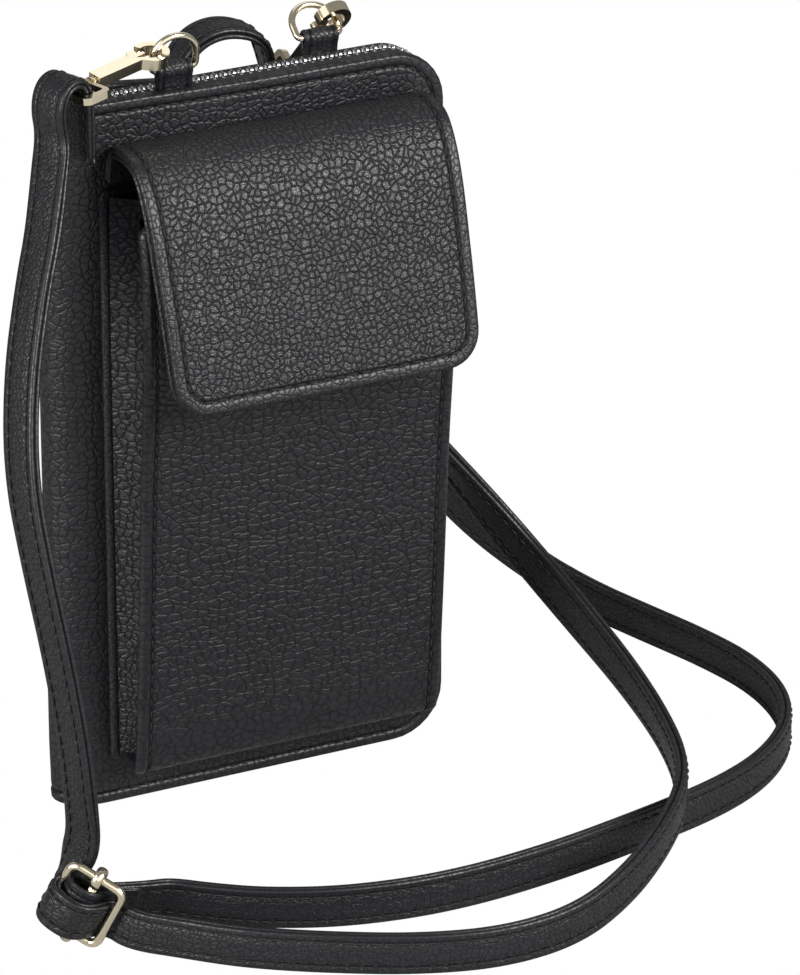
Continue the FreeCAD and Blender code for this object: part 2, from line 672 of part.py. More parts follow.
def frame_of(origin, along, across):
    """A placement from its origin, its X axis and the rough direction of its Z axis."""
    x = Vector(along).normalize()
    y = Vector(across).cross(x).normalize()
    z = x.cross(y)
    matrix = FreeCAD.Matrix(
        x.x, y.x, z.x, origin.x, x.y, y.y, z.y, origin.y, x.z, y.z, z.z, origin.z, 0, 0, 0, 1
    )
    return Placement(matrix)


def gate_pivot():
    """The gate's pivot in the hook's plane."""
    return (size("hook_body") - 1.2, 0.95 - size("hook_half"))


def make_hook(label, place):
    """Swivel end, body and claw in one casting, with a slot for the gate and a socket for the post."""
    body = new_body(label)
    half = size("hook_half")
    long = size("hook_body")
    centre = (size("claw_centre"), 0.0)
    inner = size("claw_inner")
    outer = inner + size("claw_band")
    meet = 180 - math.degrees(math.asin(half / outer))
    inside = 155.0
    tip = -106.0
    profile = new_sketch(body, "XY_Plane", label + "_profile")
    start = size("post_clear") * 3
    draw(
        profile, (start, -half), (long, -half), (long, 0.25), polar(centre, inner, inside),
        (polar(centre, inner, (inside + tip) / 2), polar(centre, inner, tip)),
        polar(centre, outer, tip), (polar(centre, outer, (meet + tip) / 2), polar(centre, outer, meet)),
        (start, half), (start, -half),
    )
    feature(body, "Pad", label + "_pad", profile, "sizes.hook_width", Midplane=True)
    slot = new_sketch(body, "XY_Plane", label + "_slot")
    pivot = gate_pivot()
    rear = pivot[0] - size("gate_pin") / 2 - 3 * size("gate_clear") - 0.25
    front = polar(centre, inner, inside)
    draw(
        slot, (rear, -half - 1.0), (rear, pivot[1] + 1.15), (front[0], front[1] + 0.05),
        (front[0] + 0.5, front[1] + 0.05), (front[0] + 0.5, -half - 1.0), (rear, -half - 1.0),
    )
    feature(body, "Pocket", label + "_slot_cut", slot, "sizes.gate_width + 2 * sizes.gate_clear", Midplane=True)
    pin = new_sketch(body, "XY_Plane", label + "_pin_hole")
    draw_circle(pin, pivot, size("gate_pin") + size("pin_clear"))
    feature(body, "Pocket", label + "_pin_cut", pin, Type="ThroughAll", Midplane=True)
    for name, diameter, reach in (
        ("neck", size("post_diameter") + 2 * size("post_clear"), 3.2),
        ("socket", size("post_head") + 2 * size("post_clear"), 5.4),
    ):
        bore = new_sketch(body, "YZ_Plane", label + "_" + name, 0.0 if name == "neck" else 3.2)
        draw_circle(bore, (0, 0), diameter)
        length = reach if name == "neck" else reach - 3.2
        feature(body, "Pocket", label + "_" + name + "_cut", bore, length=length, Reversed=True)
    body.Placement = place


def make_gate(label, place):
    """The spring gate: a lever on its pin, with a thumb nub outside and its end inside the claw's tip."""
    body = new_body(label)
    pivot = gate_pivot()
    arm = size("gate_arm")
    round_end = size("gate_pin") / 2 + 0.45
    end = (size("claw_centre") - 0.55, pivot[1] + 0.65)
    under = end[1] - arm
    profile = new_sketch(body, "XY_Plane", label + "_profile")
    draw(
        profile, (pivot[0], pivot[1] - round_end),
        ((pivot[0] - round_end, pivot[1]), (pivot[0], pivot[1] + round_end)),
        (end[0], end[1]), (end[0], under), (pivot[0] + 3.6, under),
        ((pivot[0] + 2.6, under - 1.9), (pivot[0] + 1.4, under - 0.6)), (pivot[0], pivot[1] - round_end),
    )
    draw_circle(profile, pivot, size("gate_pin") + 2 * size("pin_clear"))
    feature(body, "Pad", label + "_pad", profile, "sizes.gate_width", Midplane=True)
    body.Placement = place


def make_gate_pin(label, place):
    body = new_body(label)
    end = new_sketch(body, "XY_Plane", label + "_round")
    draw_circle(end, gate_pivot(), size("gate_pin"))
    feature(body, "Pad", label + "_pad", end, "sizes.hook_width", Midplane=True)
    body.Placement = place


def eye_bar_x():
    """X of the middle of the eye's strap bar, in the hook's frame."""
    return -(1.6 + 1.2 + size("eye_gap") + size("eye_bar") / 2)


def make_eye(label, place):
    """The strap eye with its collar, and the swivel post and head that turn in the hook's socket."""
    body = new_body(label)
    bar = size("eye_bar")
    far = eye_bar_x() - bar / 2
    inside = size("strap_width") / 2 + size("strap_room")
    loop = new_sketch(body, "XY_Plane", label + "_loop")
    draw_round_box(loop, (far, -inside - bar), (-1.6, inside + bar), 2.0)
    draw_round_box(loop, (far + bar, -inside), (-2.8, inside), 0.8)
    feature(body, "Pad", label + "_pad", loop, "sizes.eye_bar", Midplane=True)
    for name, diameter, start, end in (
        ("collar", size("post_head"), -1.9, 0.0),
        ("post", size("post_diameter"), 0.0, 3.4),
        ("head", size("post_head"), 3.4, 5.0),
    ):
        disc = new_sketch(body, "YZ_Plane", label + "_" + name, start)
        draw_circle(disc, (0, 0), diameter)
        feature(body, "Pad", label + "_" + name + "_pad", disc, length=end - start)
    body.Placement = place


def make_slide(place):
    """The strap slide: a flat frame with round corners, and a bar across its middle."""
    wire = size("slide_wire")
    across = size("slide_across") / 2
    along = size("slide_along") / 2
    frame = new_body("slide_frame")
    ring = new_sketch(frame, "XY_Plane", "slide_ring")
    draw_round_box(ring, (-along, -across), (along, across), size("slide_round"))
    draw_round_box(ring, (wire - along, wire - across), (along - wire, across - wire), size("slide_round") - wire / 2)
    feature(frame, "Pad", "slide_pad", ring, "sizes.slide_thick", Midplane=True)
    frame.Placement = place
    bar = new_body("slide_bar")
    end = new_sketch(bar, "XZ_Plane", "slide_bar_round")
    draw_circle(end, (0, 0), size("slide_thick"))
    feature(bar, "Pad", "slide_bar_pad", end, "sizes.slide_across - 2 * sizes.slide_wire", Midplane=True)
    bar.Placement = place


FRONT_RING = (-1, RING_FRONT_X, HEIGHT + size("ring_front_rise"), size("ring_front_lean"))
BACK_RING = (1, RING_BACK_X, HEIGHT + size("ring_back_rise"), size("ring_back_lean"))
WIRE_IN_CLAW = 0.7


def place_clasp(ring, leg, grip, axis):
    """Where a snap hook holds a leg of a ring: its frame, its axis and the middle of its strap bar."""
    frame = ring_frame(*ring)
    wire = frame.multVec(Vector(leg * size("ring_half"), 0, grip))
    along = Vector(axis).normalize()
    origin = wire - along * (size("claw_centre") + WIRE_IN_CLAW)
    hook = frame_of(origin, along, frame.Rotation.multVec(Vector(0, 0, leg)))
    return {"hook": hook, "axis": along, "bar": origin + along * eye_bar_x()}


FRONT_CLASP = place_clasp(FRONT_RING, -1, 4.5, Vector(0.938, 0.341, 0.068))
BACK_CLASP = place_clasp(BACK_RING, 1, 4.7, Vector(0.3, -0.5, 0.81))


def on_front_eye(out, rise):
    """A point beside the front eye's bar: out from the hook, and up."""
    point = FRONT_CLASP["bar"] - FRONT_CLASP["axis"] * out + Vector(0, 0, rise)
    return (point.x, point.y, point.z)


def on_back_eye(along, across):
    """A point beside the back eye's bar: towards the hook, and through the eye."""
    side = BACK_CLASP["hook"].Rotation.multVec(Vector(0, 1, 0))
    point = BACK_CLASP["bar"] + BACK_CLASP["axis"] * along + side * across
    return (point.x, point.y, point.z)


SLIDE_MIDDLE = Vector(-75.7, -73.3, 11.4)
SLIDE_ALONG = Vector(-0.652, 0.608, 0.453)
SLIDE_NORMAL = Vector(-0.682, -0.731, 0.0)
SLIDE_BAR = Vector(0.331, -0.309, 0.891)


def on_slide(along, out, shift=0.0):
    """A point in the strap slide's own frame: along the strap, out of its front, and along its bar."""
    point = SLIDE_MIDDLE + SLIDE_ALONG * along + SLIDE_NORMAL * out + SLIDE_BAR * shift
    return (point.x, point.y, point.z)


# The strap's route, chosen by hand: a point on its middle line, and the direction of its width there.
FLAT = (0.0, 0.0, -1.0)
FOLD_WIDTH = (-0.342, 0.94, 0.0)
DROP_WIDTH = (-0.616, 0.788, 0.0)
SLIDE_WIDTH = (-0.331, 0.309, -0.891)
EYE_WIDTH = (0.0, 0.85, 0.53)
BACK_WIDTH = (0.0, 1.0, 0.0)
DROP = [
    (on_front_eye(-3.0, -17.5), FOLD_WIDTH), (on_front_eye(-3.1, -9.0), FOLD_WIDTH),
    (on_front_eye(-3.0, 1.8), FOLD_WIDTH), (on_front_eye(0.6, 4.6), FOLD_WIDTH), (on_front_eye(5.0, 3.2), FOLD_WIDTH),
    (on_front_eye(6.6, -2.5), FOLD_WIDTH), (on_front_eye(5.2, -9.5), FOLD_WIDTH),
    ((-58.5, -21.0, 179.0), (-0.45, 0.89, 0.0)), ((-63.0, -27.5, 168.0), (-0.55, 0.83, 0.0)),
    ((-68.6, -33.6, 157.0), DROP_WIDTH),
    ((-75.5, -41.5, 138.0), DROP_WIDTH), ((-79.7, -50.0, 116.0), DROP_WIDTH), ((-78.4, -57.0, 93.5), DROP_WIDTH),
    ((-76.0, -62.2, 72.0), DROP_WIDTH), ((-75.6, -66.8, 52.5), DROP_WIDTH), ((-77.4, -69.8, 37.5), DROP_WIDTH),
    ((-82.2, -70.4, 27.0), (-0.58, 0.66, -0.4)), ((-85.0, -70.2, 18.8), (-0.45, 0.45, -0.75)),
    (on_slide(8.2, 4.04), SLIDE_WIDTH), (on_slide(3.8, 4.49), SLIDE_WIDTH),
]
RUN = [
    (on_slide(3.8, 4.49), SLIDE_WIDTH), (on_slide(-1.2, 5.0), SLIDE_WIDTH), (on_slide(-7.2, -3.5), SLIDE_WIDTH),
    (on_slide(-13.5, -1.5), (-0.25, 0.25, -0.93)), ((-57.0, -88.6, 5.5), FLAT), ((-45.0, -100.0, 5.5), FLAT),
    ((-28.0, -111.0, 5.5), FLAT), ((-8.0, -121.5, 5.5), FLAT), ((12.0, -127.0, 5.5), FLAT),
    ((32.0, -126.0, 6.5), FLAT), ((49.0, -119.0, 10.0), FLAT), ((63.5, -109.0, 14.0), FLAT),
    ((75.4, -96.9, 17.0), FLAT), ((82.9, -82.0, 17.5), FLAT), ((88.2, -61.3, 18.5), FLAT),
    ((91.2, -35.9, 21.0), (-0.1, 0.1, -0.99)), ((90.6, -11.0, 26.0), (-0.2, 0.2, -0.95)),
    ((85.6, 8.5, 36.0), (-0.3, 0.5, -0.8)), ((76.0, 18.5, 51.0), (-0.3, 0.8, -0.5)),
    ((63.0, 24.5, 70.0), (-0.1, 0.97, -0.2)), ((46.0, 27.0, 94.0), BACK_WIDTH), ((28.0, 27.0, 119.0), BACK_WIDTH),
    ((9.5, 25.5, 144.0), BACK_WIDTH), ((-5.5, 22.5, 164.0), BACK_WIDTH), ((-9.5, 20.5, 178.5), BACK_WIDTH),
    ((-5.0, 19.5, 190.0), BACK_WIDTH), ((4.0, 19.0, 193.6), BACK_WIDTH), ((13.0, 18.5, 190.0), BACK_WIDTH),
    ((16.6, 18.2, 182.4), (0.0, 0.95, 0.3)), (on_back_eye(2.95, -4.8), EYE_WIDTH), (on_back_eye(2.95, 0.0), EYE_WIDTH),
]
RETURN = [
    (on_back_eye(2.95, 0.0), EYE_WIDTH), (on_back_eye(2.95, 4.8), EYE_WIDTH), (on_back_eye(-2.0, 8.4), EYE_WIDTH),
    ((31.8, 24.5, 160.0), (0.0, 0.97, 0.25)), ((33.5, 32.0, 143.0), BACK_WIDTH), ((38.5, 41.0, 122.0), BACK_WIDTH),
    ((48.0, 50.0, 98.0), BACK_WIDTH), ((62.0, 58.0, 70.0), (-0.1, 0.97, -0.2)),
    ((79.0, 63.5, 43.0), (-0.2, 0.85, -0.5)), ((96.0, 62.5, 22.0), (-0.2, 0.5, -0.85)),
    ((109.0, 52.0, 10.0), (0.0, 0.15, -0.98)), ((117.5, 34.0, 5.8), FLAT), ((124.5, 14.0, 5.5), FLAT),
    ((131.0, -5.0, 5.5), FLAT), ((135.2, -24.0, 5.5), FLAT), ((133.8, -43.1, 5.5), FLAT),
    ((126.3, -59.0, 5.5), FLAT), ((112.6, -72.1, 5.5), FLAT), ((95.0, -80.9, 5.5), FLAT),
    ((71.0, -87.3, 5.5), FLAT), ((41.0, -93.8, 5.5), FLAT), ((12.0, -96.3, 5.5), FLAT), ((-13.0, -92.5, 5.5), FLAT),
    ((-32.0, -84.5, 5.5), FLAT), ((-44.5, -76.3, 5.9), (-0.1, 0.1, -0.98)),
    ((-52.8, -71.25, 7.0), (-0.2, 0.2, -0.95)), ((-59.7, -70.9, 8.06), SLIDE_WIDTH),
]
LOOP = [
    ((-59.7, -70.9, 8.06), SLIDE_WIDTH), ((-67.6, -70.5, 9.27), SLIDE_WIDTH), (on_slide(-0.2, -2.9), SLIDE_WIDTH),
    (on_slide(1.2, -1.9), SLIDE_WIDTH), (on_slide(2.0, -0.3), SLIDE_WIDTH), (on_slide(1.41, 1.41), SLIDE_WIDTH),
    (on_slide(-0.35, 1.97), SLIDE_WIDTH), (on_slide(-1.6, 1.2), SLIDE_WIDTH), (on_slide(-4.0, -3.4), SLIDE_WIDTH),
    (on_slide(-6.5, -7.0, 0.4), SLIDE_WIDTH), (on_slide(-10.4, -10.0, 1.2), SLIDE_WIDTH),
]
ARC_STEP = 18.0


def strap_stations(route):
    """Points, tangents and width directions along straight runs joined by tangent arcs, and the arcs' radii.

    The radius at a point is 0.45 of the shorter run beside it, divided by the tangent of half the turn.
    """
    points = [Vector(*p) for p, _ in route]
    widths = [Vector(*w) for _, w in route]
    first = (points[1] - points[0]).normalize()
    stations = [(points[0], first, widths[0])]
    radii = []
    for k in range(1, len(points) - 1):
        before = points[k] - points[k - 1]
        after = points[k + 1] - points[k]
        cut = 0.45 * min(before.Length, after.Length)
        before.normalize()
        after.normalize()
        turn = before.getAngle(after)
        radius = cut / math.tan(turn / 2)
        radii.append(radius)
        inward = (after - before).normalize()
        centre = points[k] + inward * (radius / math.cos(turn / 2))
        count = max(1, math.ceil(math.degrees(turn) / ARC_STEP))
        axis = before.cross(after).normalize()
        spoke = points[k] - before * cut - centre
        for j in range(count + 1):
            spin = Rotation(axis, math.degrees(turn) * j / count)
            share = (j / count - 0.5) * 0.9
            other = widths[k + 1] if share > 0 else widths[k - 1]
            width = widths[k] + (other - widths[k]) * abs(share)
            stations.append((centre + spin.multVec(spoke), spin.multVec(before), width))
    stations.append((points[-1], (points[-1] - points[-2]).normalize(), widths[-1]))
    return stations, radii


def make_strap(label, route, thickness="strap_thickness"):
    """A flat strap: a ruled loft through its oblong section at each station of the route."""
    wide = size("strap_width") / 2
    thick = size(thickness) / 2
    stations, radii = strap_stations(route)
    sections = []
    for place, tangent, rough in stations:
        side = (rough - tangent * rough.dot(tangent)).normalize() * wide
        face = tangent.cross(side).normalize() * thick
        corners = [place + side + face, place - side + face, place - side - face, place + side - face]
        sections.append(Part.makePolygon(corners + corners[:1]))
    solid = Part.makeLoft(sections, True, True)
    length = sum((b[0] - a[0]).Length for a, b in zip(stations, stations[1:]))
    share = solid.Volume / (4 * wide * thick * length)
    print(f"{label}: length {length:.0f}, volume over section times length {share:.3f},",
          "radii", " ".join(f"{r:.0f}" for r in radii))
    new_solid(label, solid)


def make_clasp(name, clasp, bar_direction):
    """A swivel snap hook on a ring: hook, gate, pivot pin and strap eye."""
    place = clasp["hook"]
    make_hook("hook_" + name, place)
    make_gate("gate_" + name, place)
    make_gate_pin("gate_pin_" + name, place)
    normal = clasp["axis"].cross(bar_direction)
    make_eye("eye_" + name, frame_of(place.Base, clasp["axis"], normal))
    print("clasp", name, "origin", place.Base, "bar", clasp["bar"])


make_cover()
make_board("front_board", INNER - GAP - size("board_thickness"))
make_board("back_board", GAP - INNER)
make_inside()
make_tape("zip_tape_front", -1)
make_tape("zip_tape_back", 1)
make_teeth()
make_slider()
make_puller()
make_pocket()
make_flap()
make_tab("tab_front", *FRONT_RING[:3])
make_tab("tab_back", *BACK_RING[:3])
make_ring("d_ring_front", *FRONT_RING)
make_ring("d_ring_back", *BACK_RING)
make_clasp("front", FRONT_CLASP, Vector(*FOLD_WIDTH))
make_clasp("back", BACK_CLASP, Vector(*EYE_WIDTH))
make_slide(frame_of(SLIDE_MIDDLE, SLIDE_ALONG, SLIDE_NORMAL))
make_strap("strap_drop", DROP)
make_strap("strap_run", RUN)
make_strap("strap_return", RETURN)
make_strap("strap_loop", LOOP, "loop_thickness")
doc.recompute()

for made in doc.Objects:
    if "Invalid" in made.State or "Error" in made.State:
        raise RuntimeError(f"{made.Label} failed: {made.State}")
for node in nodes:
    if node.Shape.isNull() or not node.Shape.isValid():
        raise RuntimeError(f"{node.Label} has no valid shape")
os.makedirs("parts", exist_ok=True)
for node in nodes:
    node.Shape.exportStep(f"parts/{node.Label}.step")
print(len(nodes), "nodes")
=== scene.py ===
"""Phone pouch: leather, stitching, zip, metal and strap over the CAD parts, and the photograph's view of it.

Lengths are millimetres in the functions and metres in Blender.
X runs right across the front, Y to the back and Z up.
"""

import json
import math

import bmesh
import bpy
import numpy as np
from bpy.props import FloatProperty, FloatVectorProperty, PointerProperty
from mathutils import Matrix, Vector

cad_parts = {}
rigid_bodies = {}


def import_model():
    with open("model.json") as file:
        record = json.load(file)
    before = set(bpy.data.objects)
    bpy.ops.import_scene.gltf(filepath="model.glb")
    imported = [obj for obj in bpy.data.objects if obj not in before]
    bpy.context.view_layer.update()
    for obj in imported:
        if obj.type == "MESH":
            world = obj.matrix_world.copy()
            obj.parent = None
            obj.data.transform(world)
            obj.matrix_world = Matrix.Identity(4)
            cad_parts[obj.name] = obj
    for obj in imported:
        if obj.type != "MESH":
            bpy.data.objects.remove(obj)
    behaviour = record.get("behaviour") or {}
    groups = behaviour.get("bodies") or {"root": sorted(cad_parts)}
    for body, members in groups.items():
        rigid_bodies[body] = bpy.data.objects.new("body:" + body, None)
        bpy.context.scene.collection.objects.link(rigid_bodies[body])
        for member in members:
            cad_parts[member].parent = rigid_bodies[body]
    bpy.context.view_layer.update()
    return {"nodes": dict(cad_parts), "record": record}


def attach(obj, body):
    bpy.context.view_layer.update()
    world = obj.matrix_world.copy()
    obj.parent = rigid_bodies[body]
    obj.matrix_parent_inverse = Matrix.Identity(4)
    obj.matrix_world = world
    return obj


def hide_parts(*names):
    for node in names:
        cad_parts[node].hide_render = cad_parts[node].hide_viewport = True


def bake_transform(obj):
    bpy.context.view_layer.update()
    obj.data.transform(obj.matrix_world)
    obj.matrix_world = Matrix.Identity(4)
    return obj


bl_info = {
    "name": "Phone pouch",
    "version": (1, 0, 0),
    "blender": (4, 5, 0),
    "location": "View3D > Sidebar > Pouch",
    "description": "Leather, stitching, zip, metal and strap of a phone pouch, built over its CAD parts",
    "category": "Add Mesh",
}

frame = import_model()
MM = 0.001


def tint(code):
    """A colour from its sRGB hex code, as linear red, green, blue and alpha."""
    parts = np.array([int(code[i:i + 2], 16) for i in (1, 3, 5)]) / 255.0
    linear = np.where(parts <= 0.04045, parts / 12.92, ((parts + 0.055) / 1.055) ** 2.4)
    return (*linear.tolist(), 1.0)


def colour(name, code, description):
    """A colour property whose default is a hex code."""
    return FloatVectorProperty(
        name=name, description=description, subtype="COLOR", size=4, min=0.0, max=1.0, default=tint(code)
    )


def length(name, default, description):
    """A length property whose default is in millimetres."""
    return FloatProperty(
        name=name, description=description, unit="LENGTH", min=0.0, default=default * MM, precision=5
    )


def power(name, default, description):
    """A property for the power of a light, in watts."""
    return FloatProperty(name=name, description=description, unit="POWER", min=0.0, default=default)


class PouchLook(bpy.types.PropertyGroup):
    """Sizes and colours of the pouch that a user would change."""

    leather: colour("Leather", "#141518", "Colour of the grained leather")
    thread: colour("Thread", "#0B0B0C", "Colour of the stitching")
    tape: colour("Zip tape", "#1A1614", "Colour of the woven zip tape")
    lining: colour("Lining", "#121214", "Colour of the lining")
    metal: colour("Fittings", "#E9DDC2", "Colour of the plated fittings")
    teeth: colour("Zip teeth", "#D9DADC", "Colour of the zip teeth")
    cell: length("Grain", 1.75, "Size of one pebble of the grain")
    depth: length("Grain depth", 0.2, "Depth of the creases between pebbles")
    stitch: length("Stitch", 3.4, "Spacing of the stitches")
    thread_width: length("Thread width", 0.62, "Width of a stitch")


class PouchStage(bpy.types.PropertyGroup):
    """Light and background."""

    backdrop: colour("Backdrop", "#FFFFFF", "Colour behind the pouch")
    key: power("Key light", 36.0, "Power of the large light in front")
    fill: power("Fill light", 22.0, "Power of the light on the left")
    top: power("Top light", 1.5, "Power of the light overhead")
    sky: FloatProperty(name="Sky", description="Strength of the even light all round", default=0.28)
    card: power("Cards", 9.0, "Power of the cards that the fittings mirror")
    back_card: power("Back card", 2.7, "Power of the card behind, which the fittings mirror")
    bounce: colour("Bounce", "#A0A0A0", "Colour of the floor for the light that it throws back")


# Shader nodes

def add(tree, kind, sockets=None, links=None, **settings):
    """One shader node, its constants and its incoming links."""
    node = tree.nodes.new(kind)
    for key, value in settings.items():
        setattr(node, key, value)
    for key, value in (sockets or {}).items():
        node.inputs[key].default_value = value
    for key, source in (links or {}).items():
        tree.links.new(source, node.inputs[key])
    return node


def new_material(name):
    """A material, its node tree and its main shader."""
    material = bpy.data.materials.new(name)
    material.use_nodes = True
    tree = material.node_tree
    return material, tree, tree.nodes["Principled BSDF"]


def math_node(tree, operation, *values):
    """The result of a sum on values, each a number or a socket."""
    node = add(tree, "ShaderNodeMath", operation=operation)
    for index, value in enumerate(values):
        if isinstance(value, (int, float)):
            node.inputs[index].default_value = value
        else:
            tree.links.new(value, node.inputs[index])
    return node.outputs[0]


def vector_node(tree, operation, links, sockets=None):
    """The result of a sum on vectors."""
    return add(tree, "ShaderNodeVectorMath", sockets, links, operation=operation).outputs[0]


def noise_node(tree, place, scale, detail):
    """Sockets of a noise at a place: Fac from 0 to 1, and Color with three noises."""
    sockets = {"Scale": scale, "Detail": detail}
    return add(tree, "ShaderNodeTexNoise", sockets, {"Vector": place}).outputs


def pillows(tree, place, scale, share):
    """Voronoi cells as pillows, x(2 - x) high.

    x is the distance from a cell's edge over a share of the cell, up to 1.
    """
    cells = add(tree, "ShaderNodeTexVoronoi", {"Scale": scale, "Randomness": 0.92}, {"Vector": place},
                feature="DISTANCE_TO_EDGE", voronoi_dimensions="2D").outputs["Distance"]
    x = add(tree, "ShaderNodeMapRange", {"From Max": share}, {"Value": cells}).outputs["Result"]
    return math_node(tree, "MULTIPLY", x, math_node(tree, "SUBTRACT", 2.0, x))


def leather_material(name, base, cell, depth, gloss):
    """Pebbled leather: pillows on the flat pattern with finer ones across them.

    The bump fades where the grain is pressed. The creases' base colour is darkened as painted shade, and
    creases are rougher and, in patches, duller than the tops of the pebbles. Seams lose their shine, and
    so does leather that its panel gives painted shade.
    """
    material, tree, shader = new_material(name)
    pattern, grain, seam = (
        add(tree, "ShaderNodeAttribute", attribute_name=key).outputs[kind]
        for key, kind in (("pattern", "Vector"), ("grain", "Fac"), ("seam", "Fac"))
    )
    wander = noise_node(tree, pattern, 0.35, 3.0)
    centred = vector_node(tree, "SUBTRACT", {0: wander["Color"]}, {1: (0.5, 0.5, 0.5)})
    offset = vector_node(tree, "SCALE", {0: centred}, {"Scale": 2.2})
    place = vector_node(tree, "ADD", {0: pattern, 1: offset})
    coarse = pillows(tree, place, MM / cell, share=0.32)
    small = pillows(tree, place, 2.4 * MM / cell, share=0.4)
    fine = noise_node(tree, pattern, 4.0, 3.0)["Fac"]
    height = math_node(tree, "MULTIPLY_ADD", small, 0.25, coarse)
    height = math_node(tree, "MULTIPLY_ADD", fine, 0.12, height)
    bump = add(tree, "ShaderNodeBump", {"Strength": 1.0, "Distance": depth},
               {"Height": math_node(tree, "MULTIPLY", height, grain)})
    tree.links.new(bump.outputs["Normal"], shader.inputs["Normal"])
    patchy = math_node(tree, "MULTIPLY_ADD", wander["Fac"], 2.4, -0.85)
    polish = math_node(tree, "MULTIPLY_ADD", math_node(tree, "MAXIMUM", coarse, patchy), 0.3, 0.24)
    # The seam attribute holds both the stitch lines and the panels' painted shade; both take the shine off.
    off_seam_and_painted_shade = math_node(tree, "MULTIPLY_ADD", seam, -0.9, 1.0)
    tree.links.new(math_node(tree, "MULTIPLY", polish, off_seam_and_painted_shade), shader.inputs["Specular IOR Level"])
    broad = noise_node(tree, pattern, 0.03, 2.0)["Fac"]
    rough = math_node(tree, "MULTIPLY_ADD", coarse, -0.15, gloss + 0.1)
    rough = math_node(tree, "MULTIPLY_ADD", broad, 0.08, rough)
    tree.links.new(rough, shader.inputs["Roughness"])
    # Painted shade: the base colour is darkened in the creases, from 0.4 at their bottom to full on the
    # pebbles' tops.
    shade = add(tree, "ShaderNodeMix", {"A": (0.4, 0.4, 0.4, 1.0), "B": (1.0, 1.0, 1.0, 1.0)},
                {"Factor": coarse}, data_type="RGBA")
    mixed = add(tree, "ShaderNodeMix", {"Factor": 1.0, "B": base}, {"A": shade.outputs["Result"]},
                data_type="RGBA", blend_type="MULTIPLY")
    tree.links.new(mixed.outputs["Result"], shader.inputs["Base Color"])
    return material


def plain_material(name, base, rough, metallic=0.0):
    """An even finish with a faint fine unevenness in its roughness."""
    material, tree, shader = new_material(name)
    place = add(tree, "ShaderNodeTexCoord").outputs["Object"]
    noise = noise_node(tree, place, 400.0, 2.0)["Fac"]
    spread = math_node(tree, "MULTIPLY_ADD", noise, 0.08, rough - 0.04)
    tree.links.new(spread, shader.inputs["Roughness"])
    shader.inputs["Base Color"].default_value = base
    shader.inputs["Metallic"].default_value = metallic
    return material


def woven_material(name, base, pitch):
    """Woven tape: two crossed waves of threads at the given pitch, as a bump."""
    material, tree, shader = new_material(name)
    pattern = add(tree, "ShaderNodeAttribute", attribute_name="pattern").outputs["Vector"]
    waves = [
        add(tree, "ShaderNodeTexWave", {"Scale": MM / pitch / 3.2, "Distortion": 0.4}, {"Vector": pattern},
            bands_direction=direction).outputs["Fac"]
        for direction in ("X", "Y")
    ]
    height = math_node(tree, "MULTIPLY", *waves)
    bump = add(tree, "ShaderNodeBump", {"Strength": 0.8, "Distance": 0.15 * MM}, {"Height": height})
    tree.links.new(bump.outputs["Normal"], shader.inputs["Normal"])
    shader.inputs["Base Color"].default_value = base
    shader.inputs["Roughness"].default_value = 0.75
    return material


def finish(context, name):
    """The material of that name, made on first use from the panel's settings."""
    if name in bpy.data.materials:
        return bpy.data.materials[name]
    look = context.scene.pouch_look
    makers = {
        "pouch leather": lambda: leather_material(name, look.leather, look.cell, look.depth, 0.4),
        "strap leather": lambda: leather_material(name, look.leather, look.cell * 0.8, look.depth * 0.5, 0.4),
        "thread": lambda: plain_material(name, look.thread, 0.75),
        "zip tape": lambda: woven_material(name, look.tape, 0.6 * MM),
        "lining": lambda: plain_material(name, look.lining, 0.8),
        "fittings": lambda: plain_material(name, look.metal, 0.14, 1.0),
        "zip teeth": lambda: plain_material(name, look.teeth, 0.28, 1.0),
    }
    return makers[name]()


# Meshes

def new_object(name, points, faces, material, slot, values=None):
    """A smooth mesh from points in millimetres, with its doubles merged and its faces turned outwards."""
    mesh = bpy.data.meshes.new(name)
    mesh.from_pydata((np.asarray(points) * MM).tolist(), [], np.asarray(faces).tolist())
    for key, value in (values or {}).items():
        value = np.asarray(value, np.float32)
        kind, field = ("FLOAT", "value") if value.ndim == 1 else ("FLOAT_VECTOR", "vector")
        mesh.attributes.new(key, kind, "POINT").data.foreach_set(field, value.ravel())
    work = bmesh.new()
    work.from_mesh(mesh)
    bmesh.ops.remove_doubles(work, verts=work.verts, dist=1e-7)
    bmesh.ops.recalc_face_normals(work, faces=work.faces)
    work.to_mesh(mesh)
    work.free()
    mesh.polygons.foreach_set("use_smooth", [True] * len(mesh.polygons))
    mesh.materials.append(material)
    made = bpy.data.objects.new(name, mesh)
    bpy.context.scene.collection.objects.link(made)
    return made


def grid_faces(rows, columns, wrap_rows=False, wrap_columns=False):
    """Quads of a grid of points, closed on itself where a wrap is asked for."""
    r = np.arange(rows if wrap_rows else rows - 1)
    c = np.arange(columns if wrap_columns else columns - 1)
    r, c = np.meshgrid(r, c, indexing="ij")
    up, on = (r + 1) % rows, (c + 1) % columns
    corners = (r * columns + c, r * columns + on, up * columns + on, up * columns + c)
    return np.stack(corners, -1).reshape(-1, 4)


def repeat_faces(one, size, count):
    """The faces of one piece with size points, for count copies of it."""
    return (one[None] + (np.arange(count) * size)[:, None, None]).reshape(-1, 4)


def unit(vectors):
    """The vectors at length 1."""
    return vectors / np.linalg.norm(vectors, axis=-1, keepdims=True)


def step_up(low, high, value):
    """0 below low, 1 above high, and a smooth cubic between."""
    share = np.clip((np.asarray(value, float) - low) / (high - low), 0, 1)
    return share * share * (3 - 2 * share)


def ridge(middle, width, value):
    """A bell of height 1 at middle, width wide."""
    return np.exp(-((np.asarray(value, float) - middle) / width) ** 2)


